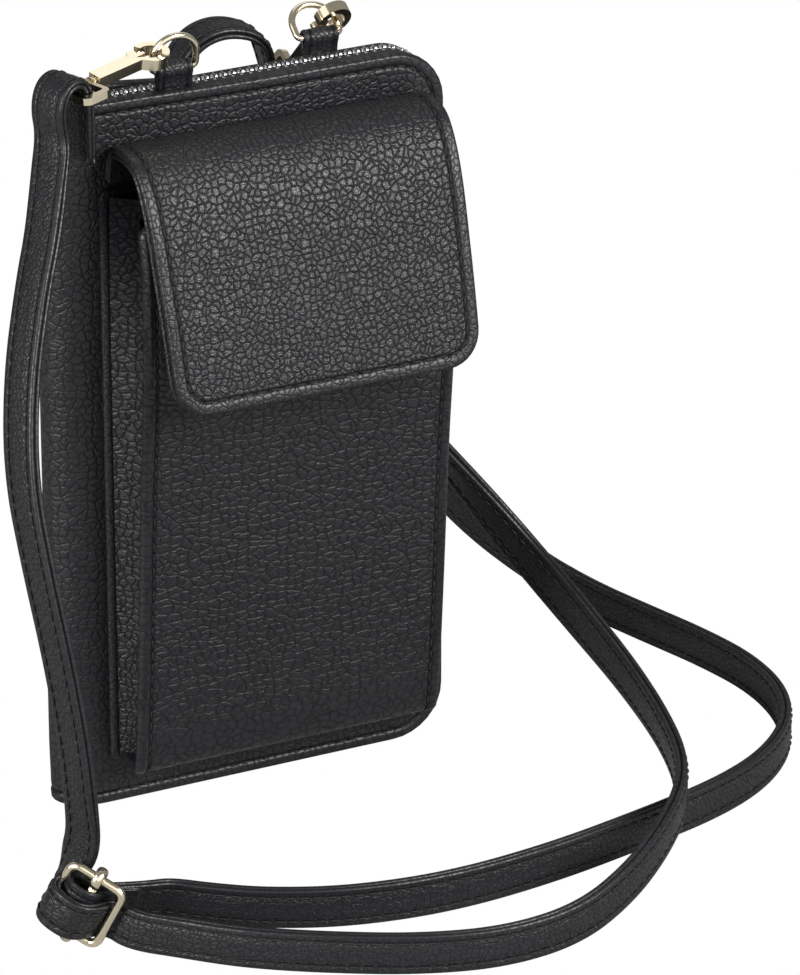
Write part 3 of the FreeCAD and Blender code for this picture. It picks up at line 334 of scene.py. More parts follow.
def smooth_path(points, passes=5):
    """Corner cutting, which keeps the ends.

    Each pass puts two points on every side, at a quarter and at three quarters of it.
    """
    path = np.asarray(points, float)
    for _ in range(passes):
        a, b = path[:-1], path[1:]
        cut = np.stack((0.75 * a + 0.25 * b, 0.25 * a + 0.75 * b), 1).reshape(-1, path.shape[1])
        path = np.vstack((path[:1], cut, path[-1:]))
    return path


class Curve:
    """A path that is read by the distance along it."""

    def __init__(self, path):
        self.path = np.asarray(path, float)
        steps = np.linalg.norm(np.diff(self.path, axis=0), axis=1)
        keep = np.concatenate(([True], steps > 1e-9))
        self.path = self.path[keep]
        self.along = np.concatenate(([0.0], np.cumsum(steps[steps > 1e-9])))
        self.length = float(self.along[-1])

    def read(self, distance):
        """Points at distances between the ends."""
        return np.stack([np.interp(distance, self.along, column) for column in self.path.T], -1)

    def at(self, distance):
        """Points at the distances, carried on straight past the ends."""
        distance = np.asarray(distance, float)
        inside = np.clip(distance, 0, self.length)
        return self.read(inside) + (distance - inside)[..., None] * self.heading(inside)

    def heading(self, distance, reach=0.05):
        """Directions along the path, each from a stretch of twice the reach."""
        low = np.clip(np.asarray(distance, float) - reach, 0, self.length - 2 * reach)
        return unit(self.read(low + 2 * reach) - self.read(low))


def rounded(width, height, radii, inset, step):
    """A rectangle with round corners, moved in by the inset, as a loop of points.

    The count is the same at any inset. Corners go anticlockwise from the lower right one, and each is joined
    to the next by a straight side.
    """
    half = np.maximum((width / 2 - inset, height / 2 - inset), 0.0)
    signs = ((1, -1), (1, 1), (-1, 1), (-1, -1))
    turns = np.radians(np.linspace(0, 90, 9))
    arcs = []
    for k, (sign, radius) in enumerate(zip(signs, radii)):
        reach = min(max(radius - inset, 0.05), *half)
        centre = np.array(sign) * (half - reach)
        angle = turns + math.radians(90 * k - 90)
        arcs.append(centre + reach * np.stack((np.cos(angle), np.sin(angle)), -1))
    loop = []
    for k, side in enumerate((height, width, height, width)):
        share = np.linspace(0, 1, math.ceil(side / step) + 1)[1:-1, None]
        loop += [arcs[k], arcs[k][-1] + share * (arcs[(k + 1) % 4][0] - arcs[k][-1])]
    return np.vstack(loop)


class Panel:
    """A sheet of leather cut to a rounded rectangle, with rolled edges, laid over a form.

    Loops of the outline at growing insets go through place(s, t), which gives points and normals, and stand
    off along the normals by a quarter round at the edge. The rim and the line of stitches are as deep as
    sewn(s, t) says, and the grain as fade(s, t) says. The function given for painted shade takes the shine
    off the leather where it is high, so that it reads dark as if in shadow.
    """

    def __init__(self, width, height, radii, place, half=1.5, step=2.0, rim=0.3, stitch=3.2, groove=0.4,
                 seed=0.0, fade=None, sewn=None, stretch=(1.0, 1.0), curl=None, painted_shade=None):
        self.width, self.height, self.radii, self.place = width, height, radii, place
        self.half, self.step, self.rim, self.stitch, self.groove = half, step, rim, stitch, groove
        self.seed, self.fade, self.sewn, self.stretch = seed, fade, sewn, stretch
        self.curl, self.painted_shade = half if curl is None else curl, painted_shade

    def relief(self, inset):
        """Extra height of the outer face: a rolled rim, then the pressed line of the stitches."""
        raised = self.rim * ridge(self.stitch * 0.5, self.stitch * 0.3, inset)
        return (raised - self.groove * ridge(self.stitch, 0.45, inset)) * min(inset / self.half, 1)

    def loop(self, inset, height, side):
        """One loop on the outer side, 1, or the hidden one, -1: flat pattern, points and normals."""
        flat = rounded(self.width, self.height, self.radii, inset, self.step)
        points, normals = self.place(flat[:, 0], flat[:, 1])
        lift = np.full((len(flat), 1), side * height)
        if side > 0:
            lift += self.relief(inset) * (1 if self.sewn is None else self.sewn(flat[:, :1], flat[:, 1:]))
        return flat, points + normals * lift, normals

    def rings(self):
        """(inset, height) from the edge to the middle of the sheet, close together near the edge."""
        turn = np.radians(np.arange(0, 91, 15))
        inset, height = self.curl * (1 - np.cos(turn)), self.half * np.sin(turn)
        far = min(self.width, self.height) / 2
        fine = np.arange(inset[-1] + 0.25, min(self.stitch + 2.0, far), 0.25)
        rest = np.linspace(fine[-1], far, max(2, math.ceil((far - fine[-1]) / self.step)))[1:]
        inset = np.concatenate((inset, fine, rest))
        return list(zip(inset, np.concatenate((height, np.full(len(inset) - len(height), self.half)))))

    def build(self, name, material, slot):
        """The closed sheet, from the middle of its hidden face over the edge to that of its outer face."""
        rings = self.rings()
        order = [(d, h, -1) for d, h in rings[::-1]] + [(d, h, 1) for d, h in rings]
        loops = [self.loop(*each) for each in order]
        count = len(loops[0][0])
        points = np.vstack([p for _, p, _ in loops])
        flat = np.vstack([f for f, _, _ in loops])
        depth = np.repeat([d for d, _, _ in order], count)
        outer = np.repeat([side for _, _, side in order], count) > 0
        grain = np.where(outer, 0.4 + 0.6 * step_up(self.stitch * 0.8, self.stitch * 1.3, depth), 0.3)
        if self.fade:
            grain = grain * self.fade(flat[:, 0], flat[:, 1])
        seam = np.where(outer & (self.groove > 0), ridge(self.stitch, 0.4, depth), 0)
        if self.sewn:
            seam = seam * self.sewn(flat[:, 0], flat[:, 1])
        # Painted shade: where the panel is given it, the seam attribute carries it too, and the leather there
        # loses its shine.
        if self.painted_shade:
            seam = np.maximum(seam, self.painted_shade(flat[:, 0], flat[:, 1]))
        pattern = np.column_stack((flat * self.stretch, np.full(len(flat), self.seed)))
        faces = grid_faces(len(loops), count, wrap_columns=True)
        values = {"grain": grain, "pattern": pattern, "seam": seam}
        return new_object(name, points, faces, material, slot, values)

    def seam(self, keep):
        """The line of the stitches on the outer face, with its normals, where keep(s, t) is true."""
        flat, points, normals = self.loop(self.stitch, self.half, 1)
        flat, points, normals = (np.vstack((a, a[:1])) for a in (flat, points, normals))
        chosen = keep(flat[:, 0], flat[:, 1])
        runs = np.split(np.arange(len(chosen)), np.flatnonzero(np.diff(chosen.astype(int))) + 1)
        return [(points[r], normals[r]) for r in runs if chosen[r[0]] and len(r) > 3]


def stitch_points(seams, pitch, width, rings=5, sides=6):
    """Short rounded threads along seams, a little shorter than their pitch.

    A thread's girth is the root of 1.02 - x^4, up to 1, with x from -1 to 1 along it. Its middle bows out.
    """
    points = []
    share = np.linspace(-1, 1, rings)
    girth = np.sqrt(np.clip(1.02 - share ** 4, 0, 1))[:, None]
    bow = (0.28 * (1 - share ** 2) * width)[:, None]
    angle = np.linspace(0, 2 * np.pi, sides, endpoint=False)
    for line, normals in seams:
        curve = Curve(line)
        count = max(1, int(curve.length / pitch))
        middle = (np.arange(count) + 0.5) * curve.length / count
        place, along = curve.at(middle), curve.heading(middle)
        where = np.linspace(0, 1, len(normals))
        pick = np.stack([np.interp(middle / curve.length, where, c) for c in normals.T], -1)
        pick = unit(pick - along * np.sum(pick * along, -1, keepdims=True))
        side = np.cross(along, pick)
        a = share[None, :, None, None] * along[:, None, None] * pitch * 0.4
        b = (girth * np.cos(angle) * width / 2)[None, :, :, None] * side[:, None, None]
        c = (girth * np.sin(angle) * width / 2 + bow)[None, :, :, None] * pick[:, None, None]
        points.append((place[:, None, None] + a + b + c).reshape(-1, 3))
    total = np.vstack(points)
    size = rings * sides
    return total, repeat_faces(grid_faces(rings, sides, wrap_columns=True), size, len(total) // size)


def sew(context, name, seams):
    """Threads along seams, in the colour and size of the panel's settings."""
    look = context.scene.pouch_look
    points, faces = stitch_points(seams, look.stitch / MM, look.thread_width / MM)
    return new_object(name, points, faces, finish(context, "thread"), "leather")


def sweep(path, side, face, section, closed=False):
    """A section of (across, up) points carried along a path, in the directions side and face."""
    section = np.asarray(section, float)
    if section.ndim == 2:
        section = np.broadcast_to(section, (len(path), *section.shape))
    points = path[:, None] + section[..., :1] * side[:, None] + section[..., 1:] * face[:, None]
    faces = grid_faces(len(path), section.shape[1], wrap_rows=closed, wrap_columns=True)
    return points.reshape(-1, 3), faces


def round_section(radius, sides=14):
    """A circle of (across, up) points."""
    angle = np.linspace(0, 2 * np.pi, sides, endpoint=False)
    return radius * np.stack((np.cos(angle), np.sin(angle)), -1)


def rod(start, end, radius, sides=14):
    """A round bar from start to end, closed by flat ends."""
    axis = unit(end - start)
    side = unit(np.cross(axis, (0.3, 0.5, 0.81)))
    path = np.stack((start, start, end, end))
    section = np.array((1e-4, 1, 1, 1e-4))[:, None, None] * round_section(radius, sides)
    return sweep(path, np.tile(side, (4, 1)), np.tile(np.cross(axis, side), (4, 1)), section)


def join(*pieces):
    """Several (points, faces) as one."""
    offset = np.cumsum([0] + [len(p) for p, _ in pieces[:-1]])
    return np.vstack([p for p, _ in pieces]), np.vstack([f + o for (_, f), o in zip(pieces, offset)])


# Forms of the pouch, from the photograph

LEFT, RIGHT, HEIGHT = -53.0, 53.0, 190.0
COVER_HALF = 1.5
COVER_DEPTH = 8.0
COVER_PAD, COVER_WAVE = 0.25, 0.12
COVER_GRAIN = 0.65
SPINE = 12.0
CORNER = 14.0
FRONT_DROOP, BACK_DROOP = 0.8, 4.2


def cover_wrap():
    """The cover's middle line seen from above: front panel, half ellipse round the spine, back panel."""
    middle = COVER_DEPTH - COVER_HALF
    turn = np.radians(np.linspace(-90, -270, 73))
    bend = np.column_stack((LEFT + SPINE + (SPINE - COVER_HALF) * np.cos(turn), middle * np.sin(turn)))
    return Curve(np.vstack(([[RIGHT, -middle]], bend, [[RIGHT, middle]])))


WRAP = cover_wrap()


def cover_place(s, t):
    """place() for the cover, with the middle of the pattern on the spine.

    It is padded between its edges, with a slow wave over it, and its top edges droop away from the spine.
    """
    distance = s + WRAP.length / 2
    flat, heading = WRAP.at(distance), WRAP.heading(distance)
    normal = np.column_stack((-heading[:, 1], heading[:, 0], np.zeros(len(s))))
    edge = np.minimum(WRAP.length / 2 - np.abs(s), HEIGHT / 2 - np.abs(t))
    wave = COVER_WAVE * np.sin(s / 17.0 + 0.6) * np.sin(t / 23.0 + 1.1)
    pad = COVER_PAD * step_up(4, 16, edge) + wave * step_up(4, 14, edge)
    droop = np.where(s > 0, BACK_DROOP, FRONT_DROOP) * step_up(6, 62, np.abs(s)) * step_up(65, 95, t)
    points = np.column_stack((flat, HEIGHT / 2 + t - droop))
    return points + normal * pad[:, None], normal


POCKET_LEFT, POCKET_RIGHT = -38.5, 45.5
POCKET_WIDTH, POCKET_CENTRE = POCKET_RIGHT - POCKET_LEFT, (POCKET_LEFT + POCKET_RIGHT) / 2
POCKET_MOUTH, POCKET_MIDDLE = 165.0, 90.0
POCKET_HALF = 1.3
POCKET_OUTER = Curve(smooth_path([
    (-28.0, POCKET_MOUTH), (-29.7, 160.0), (-30.8, 152.0), (-31.0, 138.0), (-30.2, 118.0), (-27.2, 92.0),
    (-25.4, 64.0), (-23.2, 34.0), (-21.6, 18.5), (-20.2, 12.6), (-14.0, 12.4), (-8.2, 12.6),
]))
WALL_HEIGHT, WALL_MARGIN, WALL_BACK = 156.0, 2.2, -8.8
GUSSET_WIDTH, GUSSET_HEIGHT = 22.0, 152.0
GUSSET_FRONT, GUSSET_BACK = 2.2, -8.6
GUSSET_INSET, GUSSET_FOLD, GUSSET_FLARE = 1.0, 8.0, 2.4
FLAP_HALF, LINING_HALF = 0.95, 0.5
FLAP_PART = 1.7
FLAP_OUTER = Curve(smooth_path([
    (-7.9, 170.0), (-8.4, 176.0), (-11.0, 180.0), (-17.0, 180.6), (-22.5, 180.4), (-26.5, 178.4),
    (-30.5, 172.5), (-33.3, 165.6), (-36.8, 153.7), (-40.7, 141.9), (-44.0, 130.0), (-46.2, 121.0),
]))
FLAP_MIDDLE = 3.5
FLAP_TOP, FLAP_FOOT = 85.0, 81.0
FLAP_SPLIT = -21.0


def bent_place(outer, depth, middle, taper=0.0, swell=0.0, part=0.0):
    """place() for a sheet bent along a profile in the YZ plane: s across, t up from the profile's middle.

    The sheet's middle lies under the profile by the depth, and by part more towards the profile's far end.
    """

    def place(s, t):
        distance = outer.length / 2 - t
        flat, heading = outer.at(distance), outer.heading(distance)
        normal = np.column_stack((np.zeros(len(s)), heading[:, 1], -heading[:, 0]))
        share = distance / outer.length
        across = middle + s * (1 - taper * share)
        pad = swell * np.cos(np.clip(s / 60.0, -1, 1) * np.pi / 2) * np.sin(np.clip(share, 0, 1) * np.pi)
        lift = pad - depth - part * step_up(0.22, 0.6, share)
        return np.column_stack((across, flat)) + normal * lift[:, None], normal

    return place


def wall_place(s, t):
    """place() for the pocket's back wall, a flat sheet."""
    points = np.column_stack((POCKET_CENTRE + s, np.full(len(s), WALL_BACK), POCKET_MIDDLE + t))
    return points, np.tile((0.0, -1.0, 0.0), (len(s), 1))


def gusset_place(side):
    """place() for a gusset from the pocket's front to its back: s across, t up from its middle.

    It is folded inwards by 1 - |2u - 1|^1.6, u being the share of its width, and less so towards the foot.
    """
    edge = POCKET_LEFT if side < 0 else POCKET_RIGHT
    level = POCKET_OUTER.path[np.argsort(POCKET_OUTER.path[:, 1])]

    def place(s, t):
        z = POCKET_MIDDLE + t
        row = np.clip((POCKET_MOUTH - z) / GUSSET_HEIGHT, 0, 1)
        front = np.interp(z, level[:, 1], level[:, 0]) + GUSSET_FRONT
        u = np.clip(s / GUSSET_WIDTH + 0.5, 0, 1)
        fold = 1 - np.abs(2 * u - 1) ** 1.6
        inward = GUSSET_INSET + GUSSET_FOLD * fold * (1 - 0.5 * row) - GUSSET_FLARE * u
        points = np.column_stack((edge - side * inward, front + (GUSSET_BACK - front) * u, z))
        return points, np.tile((float(side), 0.0, 0.0), (len(s), 1))

    return place


ZIP_INSET = 2.0
ZIP_START = LEFT + 8.0
TAPE_WIDTH, TAPE_MIDDLE = 4.6, 3.0
FRONT_SINK, BACK_SINK = 0.9, 2.6


def zip_path():
    """Middle of the zip in the XZ plane: along the top, round the two corners and back along the foot."""
    radius = CORNER - ZIP_INSET
    right, top, foot = RIGHT - ZIP_INSET, HEIGHT - ZIP_INSET, ZIP_INSET
    turn = np.radians(np.linspace(90, 0, 25))
    upper = np.column_stack((right - radius + radius * np.cos(turn), top - radius + radius * np.sin(turn)))
    lower = np.column_stack((upper[::-1, 0], HEIGHT - upper[::-1, 1]))
    return Curve(np.vstack(([[ZIP_START, top]], upper, lower, [[ZIP_START, foot]])))


ZIP = zip_path()


def tape_place(side):
    """place() for a zip tape: t along the zip, s across, sloping up from the cover to the teeth."""

    def place(s, t):
        distance = t + ZIP.length / 2
        flat, heading = ZIP.at(distance), ZIP.heading(distance)
        out = np.column_stack((-heading[:, 1], heading[:, 0]))
        sink = (FRONT_SINK if side < 0 else BACK_SINK) * step_up(-0.2, 2.2, s) - 0.1
        line = flat - out * sink[:, None]
        points = np.column_stack((line[:, 0], side * (TAPE_MIDDLE + s), line[:, 1]))
        normal = np.column_stack((out[:, 0], np.zeros(len(s)), out[:, 1]))
        return points, normal

    return place


def tooth_points(side, pitch=2.4, gap=2.0, sides=10):
    """Teeth of one row: thin bars with a head in the middle of the zip and a ball at the tape.

    The two rows are out of step by half a pitch. Rings across a tooth have a girth along the zip and a rise
    out of it, and are squarer than circles: the sine and cosine go to the power 0.7.
    """
    count = int((ZIP.length - 2 * gap) / pitch)
    middle = gap + (np.arange(count) + (0.25 if side < 0 else 0.75)) * pitch
    flat, heading = ZIP.at(middle), ZIP.heading(middle)
    along = np.column_stack((heading[:, 0], np.zeros(count), heading[:, 1]))
    out = np.column_stack((-heading[:, 1], np.zeros(count), heading[:, 0]))
    across = np.array((0.0, side, 0.0))
    base = np.column_stack((flat[:, 0], np.zeros(count), flat[:, 1]))
    ball = 0.51 if side < 0 else 0.3
    station = np.array([-0.5, -0.4, 0.2, 0.45, 1.4, 1.75, 2.2, 2.5])
    girth = np.array([0.03, 0.45, 0.45, 0.27, 0.252, ball, ball, 0.03])
    rise = np.array([0.0575, 0.92, 0.92, 0.575, 0.5175, 0.598, 0.598, 0.0575])
    angle = np.linspace(0, 2 * np.pi, sides, endpoint=False)
    wide, tall = (np.sign(wave) * np.abs(wave) ** 0.7 for wave in (np.cos(angle), np.sin(angle)))
    a = np.outer(girth, wide)[None, :, :, None] * along[:, None, None]
    b = station[None, :, None, None] * across
    c = np.outer(rise, tall)[None, :, :, None] * out[:, None, None]
    points = (base[:, None, None] + a + b + c).reshape(-1, 3)
    one = grid_faces(len(station), sides, wrap_columns=True)
    return points, repeat_faces(one, len(station) * sides, count)


# The strap's route, as in the CAD source: a point on its middle line and its width's direction

FRONT_BAR, FRONT_AXIS = np.array((-50.5417, -14.4712, 196.5004)), unit(np.array((0.938, 0.341, 0.068)))
BACK_BAR, BACK_AXIS = np.array((21.8235, 21.8812, 172.5419)), unit(np.array((0.3, -0.5, 0.81)))
BACK_SIDE = np.array((0.95, 0.181, -0.24))
SLIDE_MIDDLE = np.array((-75.7, -73.3, 11.4))
SLIDE_ALONG = np.array((-0.652, 0.608, 0.453))
SLIDE_NORMAL = np.array((-0.682, -0.731, 0.0))
SLIDE_BAR = np.array((0.331, -0.309, 0.891))


def on_front_eye(out, rise):
    """A point beside the front eye's bar: out from the hook, and up."""
    return tuple(FRONT_BAR - FRONT_AXIS * out + np.array((0.0, 0.0, rise)))


def on_back_eye(along, across):
    """A point beside the back eye's bar: towards the hook, and through the eye."""
    return tuple(BACK_BAR + BACK_AXIS * along + BACK_SIDE * across)


def on_slide(along, out, shift=0.0):
    """A point in the strap slide's own frame: along the strap, out of its front, and along its bar."""
    return tuple(SLIDE_MIDDLE + SLIDE_ALONG * along + SLIDE_NORMAL * out + SLIDE_BAR * shift)


FLAT = (0.0, 0.0, -1.0)
FOLD_WIDTH = (-0.342, 0.94, 0.0)
DROP_WIDTH = (-0.27, 0.963, 0.0)
SLIDE_WIDTH = tuple(-SLIDE_BAR)
EYE_WIDTH = (0.0, 0.85, 0.53)
BACK_WIDTH = (0.0, 1.0, 0.0)
STRAP_WIDTH = 10.5
STRAP_THICK, BENT_THICK, LOOP_THICK = 3.0, 2.3, 1.1
BEND_NEAR, BEND_FAR = 15.0, 30.0
LOOP_START, LOOP_THIN, LOOP_BARE = 38.0, 24.0, 20.0
STITCH_ROW = 2.0
STRAP_ROUTE = [
    (on_front_eye(-3.0, -17.5), FOLD_WIDTH), (on_front_eye(-3.1, -9.0), FOLD_WIDTH),
    (on_front_eye(-3.0, 1.8), FOLD_WIDTH), (on_front_eye(0.6, 4.6), FOLD_WIDTH),
    (on_front_eye(5.0, 3.2), FOLD_WIDTH), (on_front_eye(6.6, -2.5), FOLD_WIDTH),
    (on_front_eye(5.2, -9.5), FOLD_WIDTH), ((-58.5, -21.0, 179.0), FOLD_WIDTH),
    ((-63.0, -27.5, 168.0), DROP_WIDTH), ((-68.6, -33.6, 157.0), DROP_WIDTH),
    ((-75.5, -41.5, 138.0), DROP_WIDTH), ((-79.7, -50.0, 116.0), DROP_WIDTH),
    ((-78.4, -57.0, 93.5), DROP_WIDTH), ((-76.0, -62.2, 72.0), DROP_WIDTH),
    ((-74.2, -65.8, 51.8), DROP_WIDTH), ((-73.5, -67.7, 36.8), DROP_WIDTH),
    ((-72.9, -67.4, 23.9), (-0.35, 0.85, -0.3)), ((-76.5, -64.5, 16.5), (-0.4, 0.5, -0.72)),
    (on_slide(8.6, -0.6, -1.8), SLIDE_WIDTH), (on_slide(8.0, 3.3, -2.6), SLIDE_WIDTH),
    (on_slide(4.6, 4.8, -2.8), SLIDE_WIDTH), (on_slide(-1.6, 5.0, -2.4), SLIDE_WIDTH),
    (on_slide(-6.6, -4.2, -1.6), SLIDE_WIDTH), (on_slide(-13.5, -1.5, 0.1), (-0.25, 0.25, -0.93)),
    ((-57.0, -88.6, 5.5), FLAT), ((-45.0, -100.0, 5.5), FLAT), ((-28.0, -111.0, 5.5), FLAT),
    ((-8.0, -121.5, 5.5), FLAT), ((12.0, -127.0, 5.5), FLAT), ((32.0, -126.0, 6.5), FLAT),
    ((49.0, -119.0, 10.0), FLAT), ((63.5, -109.0, 14.0), FLAT), ((75.4, -96.9, 17.0), FLAT),
    ((82.9, -82.0, 17.5), FLAT), ((88.2, -61.3, 18.5), FLAT), ((91.2, -35.9, 21.0), (-0.1, 0.1, -0.99)),
    ((90.6, -11.0, 26.0), (-0.2, 0.2, -0.95)), ((85.6, 8.5, 36.0), (-0.3, 0.5, -0.8)),
    ((76.0, 18.5, 51.0), (-0.3, 0.8, -0.5)), ((63.0, 24.5, 70.0), (-0.1, 0.97, -0.2)),
    ((46.0, 27.0, 94.0), BACK_WIDTH), ((28.0, 27.0, 119.0), BACK_WIDTH), ((9.5, 25.5, 144.0), BACK_WIDTH),
    ((-5.5, 22.5, 164.0), BACK_WIDTH), ((-9.5, 20.5, 178.5), BACK_WIDTH), ((-5.0, 19.5, 190.0), BACK_WIDTH),
    ((4.0, 19.0, 193.6), BACK_WIDTH), ((14.5, 18.5, 190.0), BACK_WIDTH),
    ((16.6, 18.2, 182.4), (0.0, 0.95, 0.3)), (on_back_eye(2.95, -4.8), EYE_WIDTH),
    (on_back_eye(2.95, 0.0), EYE_WIDTH), (on_back_eye(2.95, 4.8), EYE_WIDTH),
    (on_back_eye(-2.0, 8.4), EYE_WIDTH), ((31.8, 24.5, 160.0), (0.0, 0.97, 0.25)),
    ((33.5, 32.0, 143.0), BACK_WIDTH), ((38.5, 41.0, 122.0), BACK_WIDTH), ((48.0, 50.0, 98.0), BACK_WIDTH),
    ((62.0, 58.0, 70.0), (-0.1, 0.97, -0.2)), ((79.0, 63.5, 43.0), (-0.2, 0.85, -0.5)),
    ((96.0, 62.5, 22.0), (-0.2, 0.5, -0.85)), ((109.0, 52.0, 10.0), (0.0, 0.15, -0.98)),
    ((117.5, 34.0, 5.8), FLAT), ((124.5, 14.0, 5.5), FLAT), ((131.0, -5.0, 5.5), FLAT),
    ((135.2, -24.0, 5.5), FLAT), ((133.8, -43.1, 5.5), FLAT), ((126.3, -59.0, 5.5), FLAT),
    ((112.6, -72.1, 5.5), FLAT), ((95.0, -80.9, 5.5), FLAT), ((71.0, -87.3, 5.5), FLAT),
    ((41.0, -93.8, 5.5), FLAT), ((12.0, -96.3, 5.5), FLAT), ((-13.0, -92.5, 5.5), FLAT),
    ((-32.0, -84.5, 5.5), FLAT), ((-44.5, -76.3, 5.9), (-0.1, 0.1, -0.98)),
    ((-52.8, -71.25, 7.0), (-0.2, 0.2, -0.95)), ((-59.7, -70.9, 8.06), SLIDE_WIDTH),
    ((-67.6, -70.5, 9.27), SLIDE_WIDTH), (on_slide(-0.2, -2.9), SLIDE_WIDTH),
    (on_slide(4.4, -2.6), SLIDE_WIDTH), (on_slide(6.3, -0.4), SLIDE_WIDTH),
    (on_slide(5.2, 2.1), SLIDE_WIDTH), (on_slide(0.6, 2.7), SLIDE_WIDTH),
    (on_slide(-1.8, 1.3), SLIDE_WIDTH), (on_slide(-4.0, -3.4), SLIDE_WIDTH),
    (on_slide(-6.5, -7.0, 0.4), SLIDE_WIDTH), (on_slide(-10.4, -10.0, 1.2), SLIDE_WIDTH),
]


def spline_points(rows, scale, resolution=10):
    """Points of a NURBS spline that has the rows as its control points."""
    data = bpy.data.curves.new("route", "CURVE")
    data.dimensions = "3D"
    spline = data.splines.new("NURBS")
    spline.points.add(len(rows) - 1)
    spline.points.foreach_set("co", np.column_stack((np.array(rows) * scale, np.ones(len(rows)))).ravel())
    spline.order_u = 3
    spline.use_endpoint_u = True
    spline.resolution_u = resolution
    holder = bpy.data.objects.new("route", data)
    mesh = bpy.data.meshes.new_from_object(holder)
    found = np.empty(len(mesh.vertices) * 3, np.float32)
    mesh.vertices.foreach_get("co", found)
    bpy.data.meshes.remove(mesh)
    bpy.data.objects.remove(holder)
    bpy.data.curves.remove(data)
    return found.reshape(-1, 3).astype(float)


def strap_section(half, thick):
    """Two layers, each with half round edges of its own, and a pressed line under each row of stitches."""
    bead = thick / 2
    turn = np.radians(np.arange(-85, 91, 17.5))
    edge = np.concatenate((bead * (1 - np.cos(turn)), np.linspace(bead, half, 16)[1:]))
    face = np.concatenate((bead * (1 + np.sin(turn)), np.full(len(edge) - len(turn), thick)))
    face = face - 0.2 * ridge(STITCH_ROW, 0.4, edge) + 0.12 * step_up(2.2, 4.0, edge)
    right = np.column_stack((half - edge, face))[::-1]
    upper = np.vstack((right[::-1] * (-1, 1), right))
    return np.vstack((upper, -upper))


class POUCH_OT_strap(bpy.types.Operator):
    """Strap: its sewn leather ribbon, with two rows of stitches on both faces"""

    bl_idname = "pouch.strap"
    bl_label = "Strap"

    def execute(self, context):
        path = spline_points([p for p, _ in STRAP_ROUTE], MM) / MM
        width = spline_points([w for _, w in STRAP_ROUTE], 1.0)
        if len(path) != len(width):
            raise RuntimeError("the strap's route and its width directions have different counts")
        tangent = unit(np.gradient(path, axis=0))
        side = unit(width - tangent * np.sum(width * tangent, -1, keepdims=True))
        face = np.cross(tangent, side)
        line = Curve(path)
        along = line.along
        bends = np.stack((FRONT_BAR, BACK_BAR, SLIDE_MIDDLE))
        near = np.linalg.norm(path[:, None] - bends, axis=-1).min(axis=1)
        thick = BENT_THICK + (STRAP_THICK - BENT_THICK) * step_up(BEND_NEAR, BEND_FAR, near)
        thin = step_up(line.length - LOOP_START, line.length - LOOP_THIN, along)
        layer = (thick + (LOOP_THICK - thick) * thin) / 2
        section = np.stack([strap_section(STRAP_WIDTH / 2, each) for each in layer])
        points, faces = sweep(path, side, face, section)
        count = section.shape[1]
        across, up = section[..., 0].ravel(), section[..., 1].ravel()
        pattern = np.column_stack((np.repeat(along, count), across + np.sign(up) * 30, np.zeros(len(points))))
        grain = step_up(0.7, 1.6, STRAP_WIDTH / 2 - np.abs(across))
        ring = np.arange(count).reshape(2, -1)
        caps = [
            np.stack((over[:-1], over[1:], under[::-1][1:], under[::-1][:-1]), -1)
            for over, under in (ring, ring + (len(path) - 1) * count)
        ]
        strap = new_object("strap", points, np.vstack((faces, *caps)), finish(context, "strap leather"),
                           "leather", {"grain": grain, "pattern": pattern})
        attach(strap, "wallet")
        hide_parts("strap_drop", "strap_run", "strap_return", "strap_loop")
        seams = []
        reach = STRAP_WIDTH / 2 - STITCH_ROW
        stop = int(np.searchsorted(along, line.length - LOOP_BARE))
        for row in (-1, 1):
            for up in (-1, 1):
                seam = path + side * row * reach + face * ((layer - 0.1) * up)[:, None]
                seams.append((seam[:stop], (face * up)[:stop]))
        threads = sew(context, "strap_stitches", seams)
        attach(threads, "wallet")
        return {"FINISHED"}


class POUCH_OT_cover(bpy.types.Operator):
    """Cover: one wrap of leather round the spine, with rolled and sewn edges"""

    bl_idname = "pouch.cover"
    bl_label = "Cover"

    def execute(self, context):
        panel = Panel(WRAP.length, HEIGHT, (CORNER,) * 4, cover_place, COVER_HALF, step=1.6, rim=0.1,
                      curl=0.8, seed=1.0, stretch=(0.88, 0.88),
                      fade=lambda s, t: np.full(len(s), COVER_GRAIN))
        cover = panel.build("cover", finish(context, "pouch leather"), "leather")
        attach(cover, "wallet")
        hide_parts("cover_leather")
        spine = WRAP.length / 2 - (RIGHT - LEFT - SPINE)
        threads = sew(context, "cover_stitches", panel.seam(lambda s, t: np.abs(s) > spine + 2))
        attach(threads, "wallet")
        return {"FINISHED"}


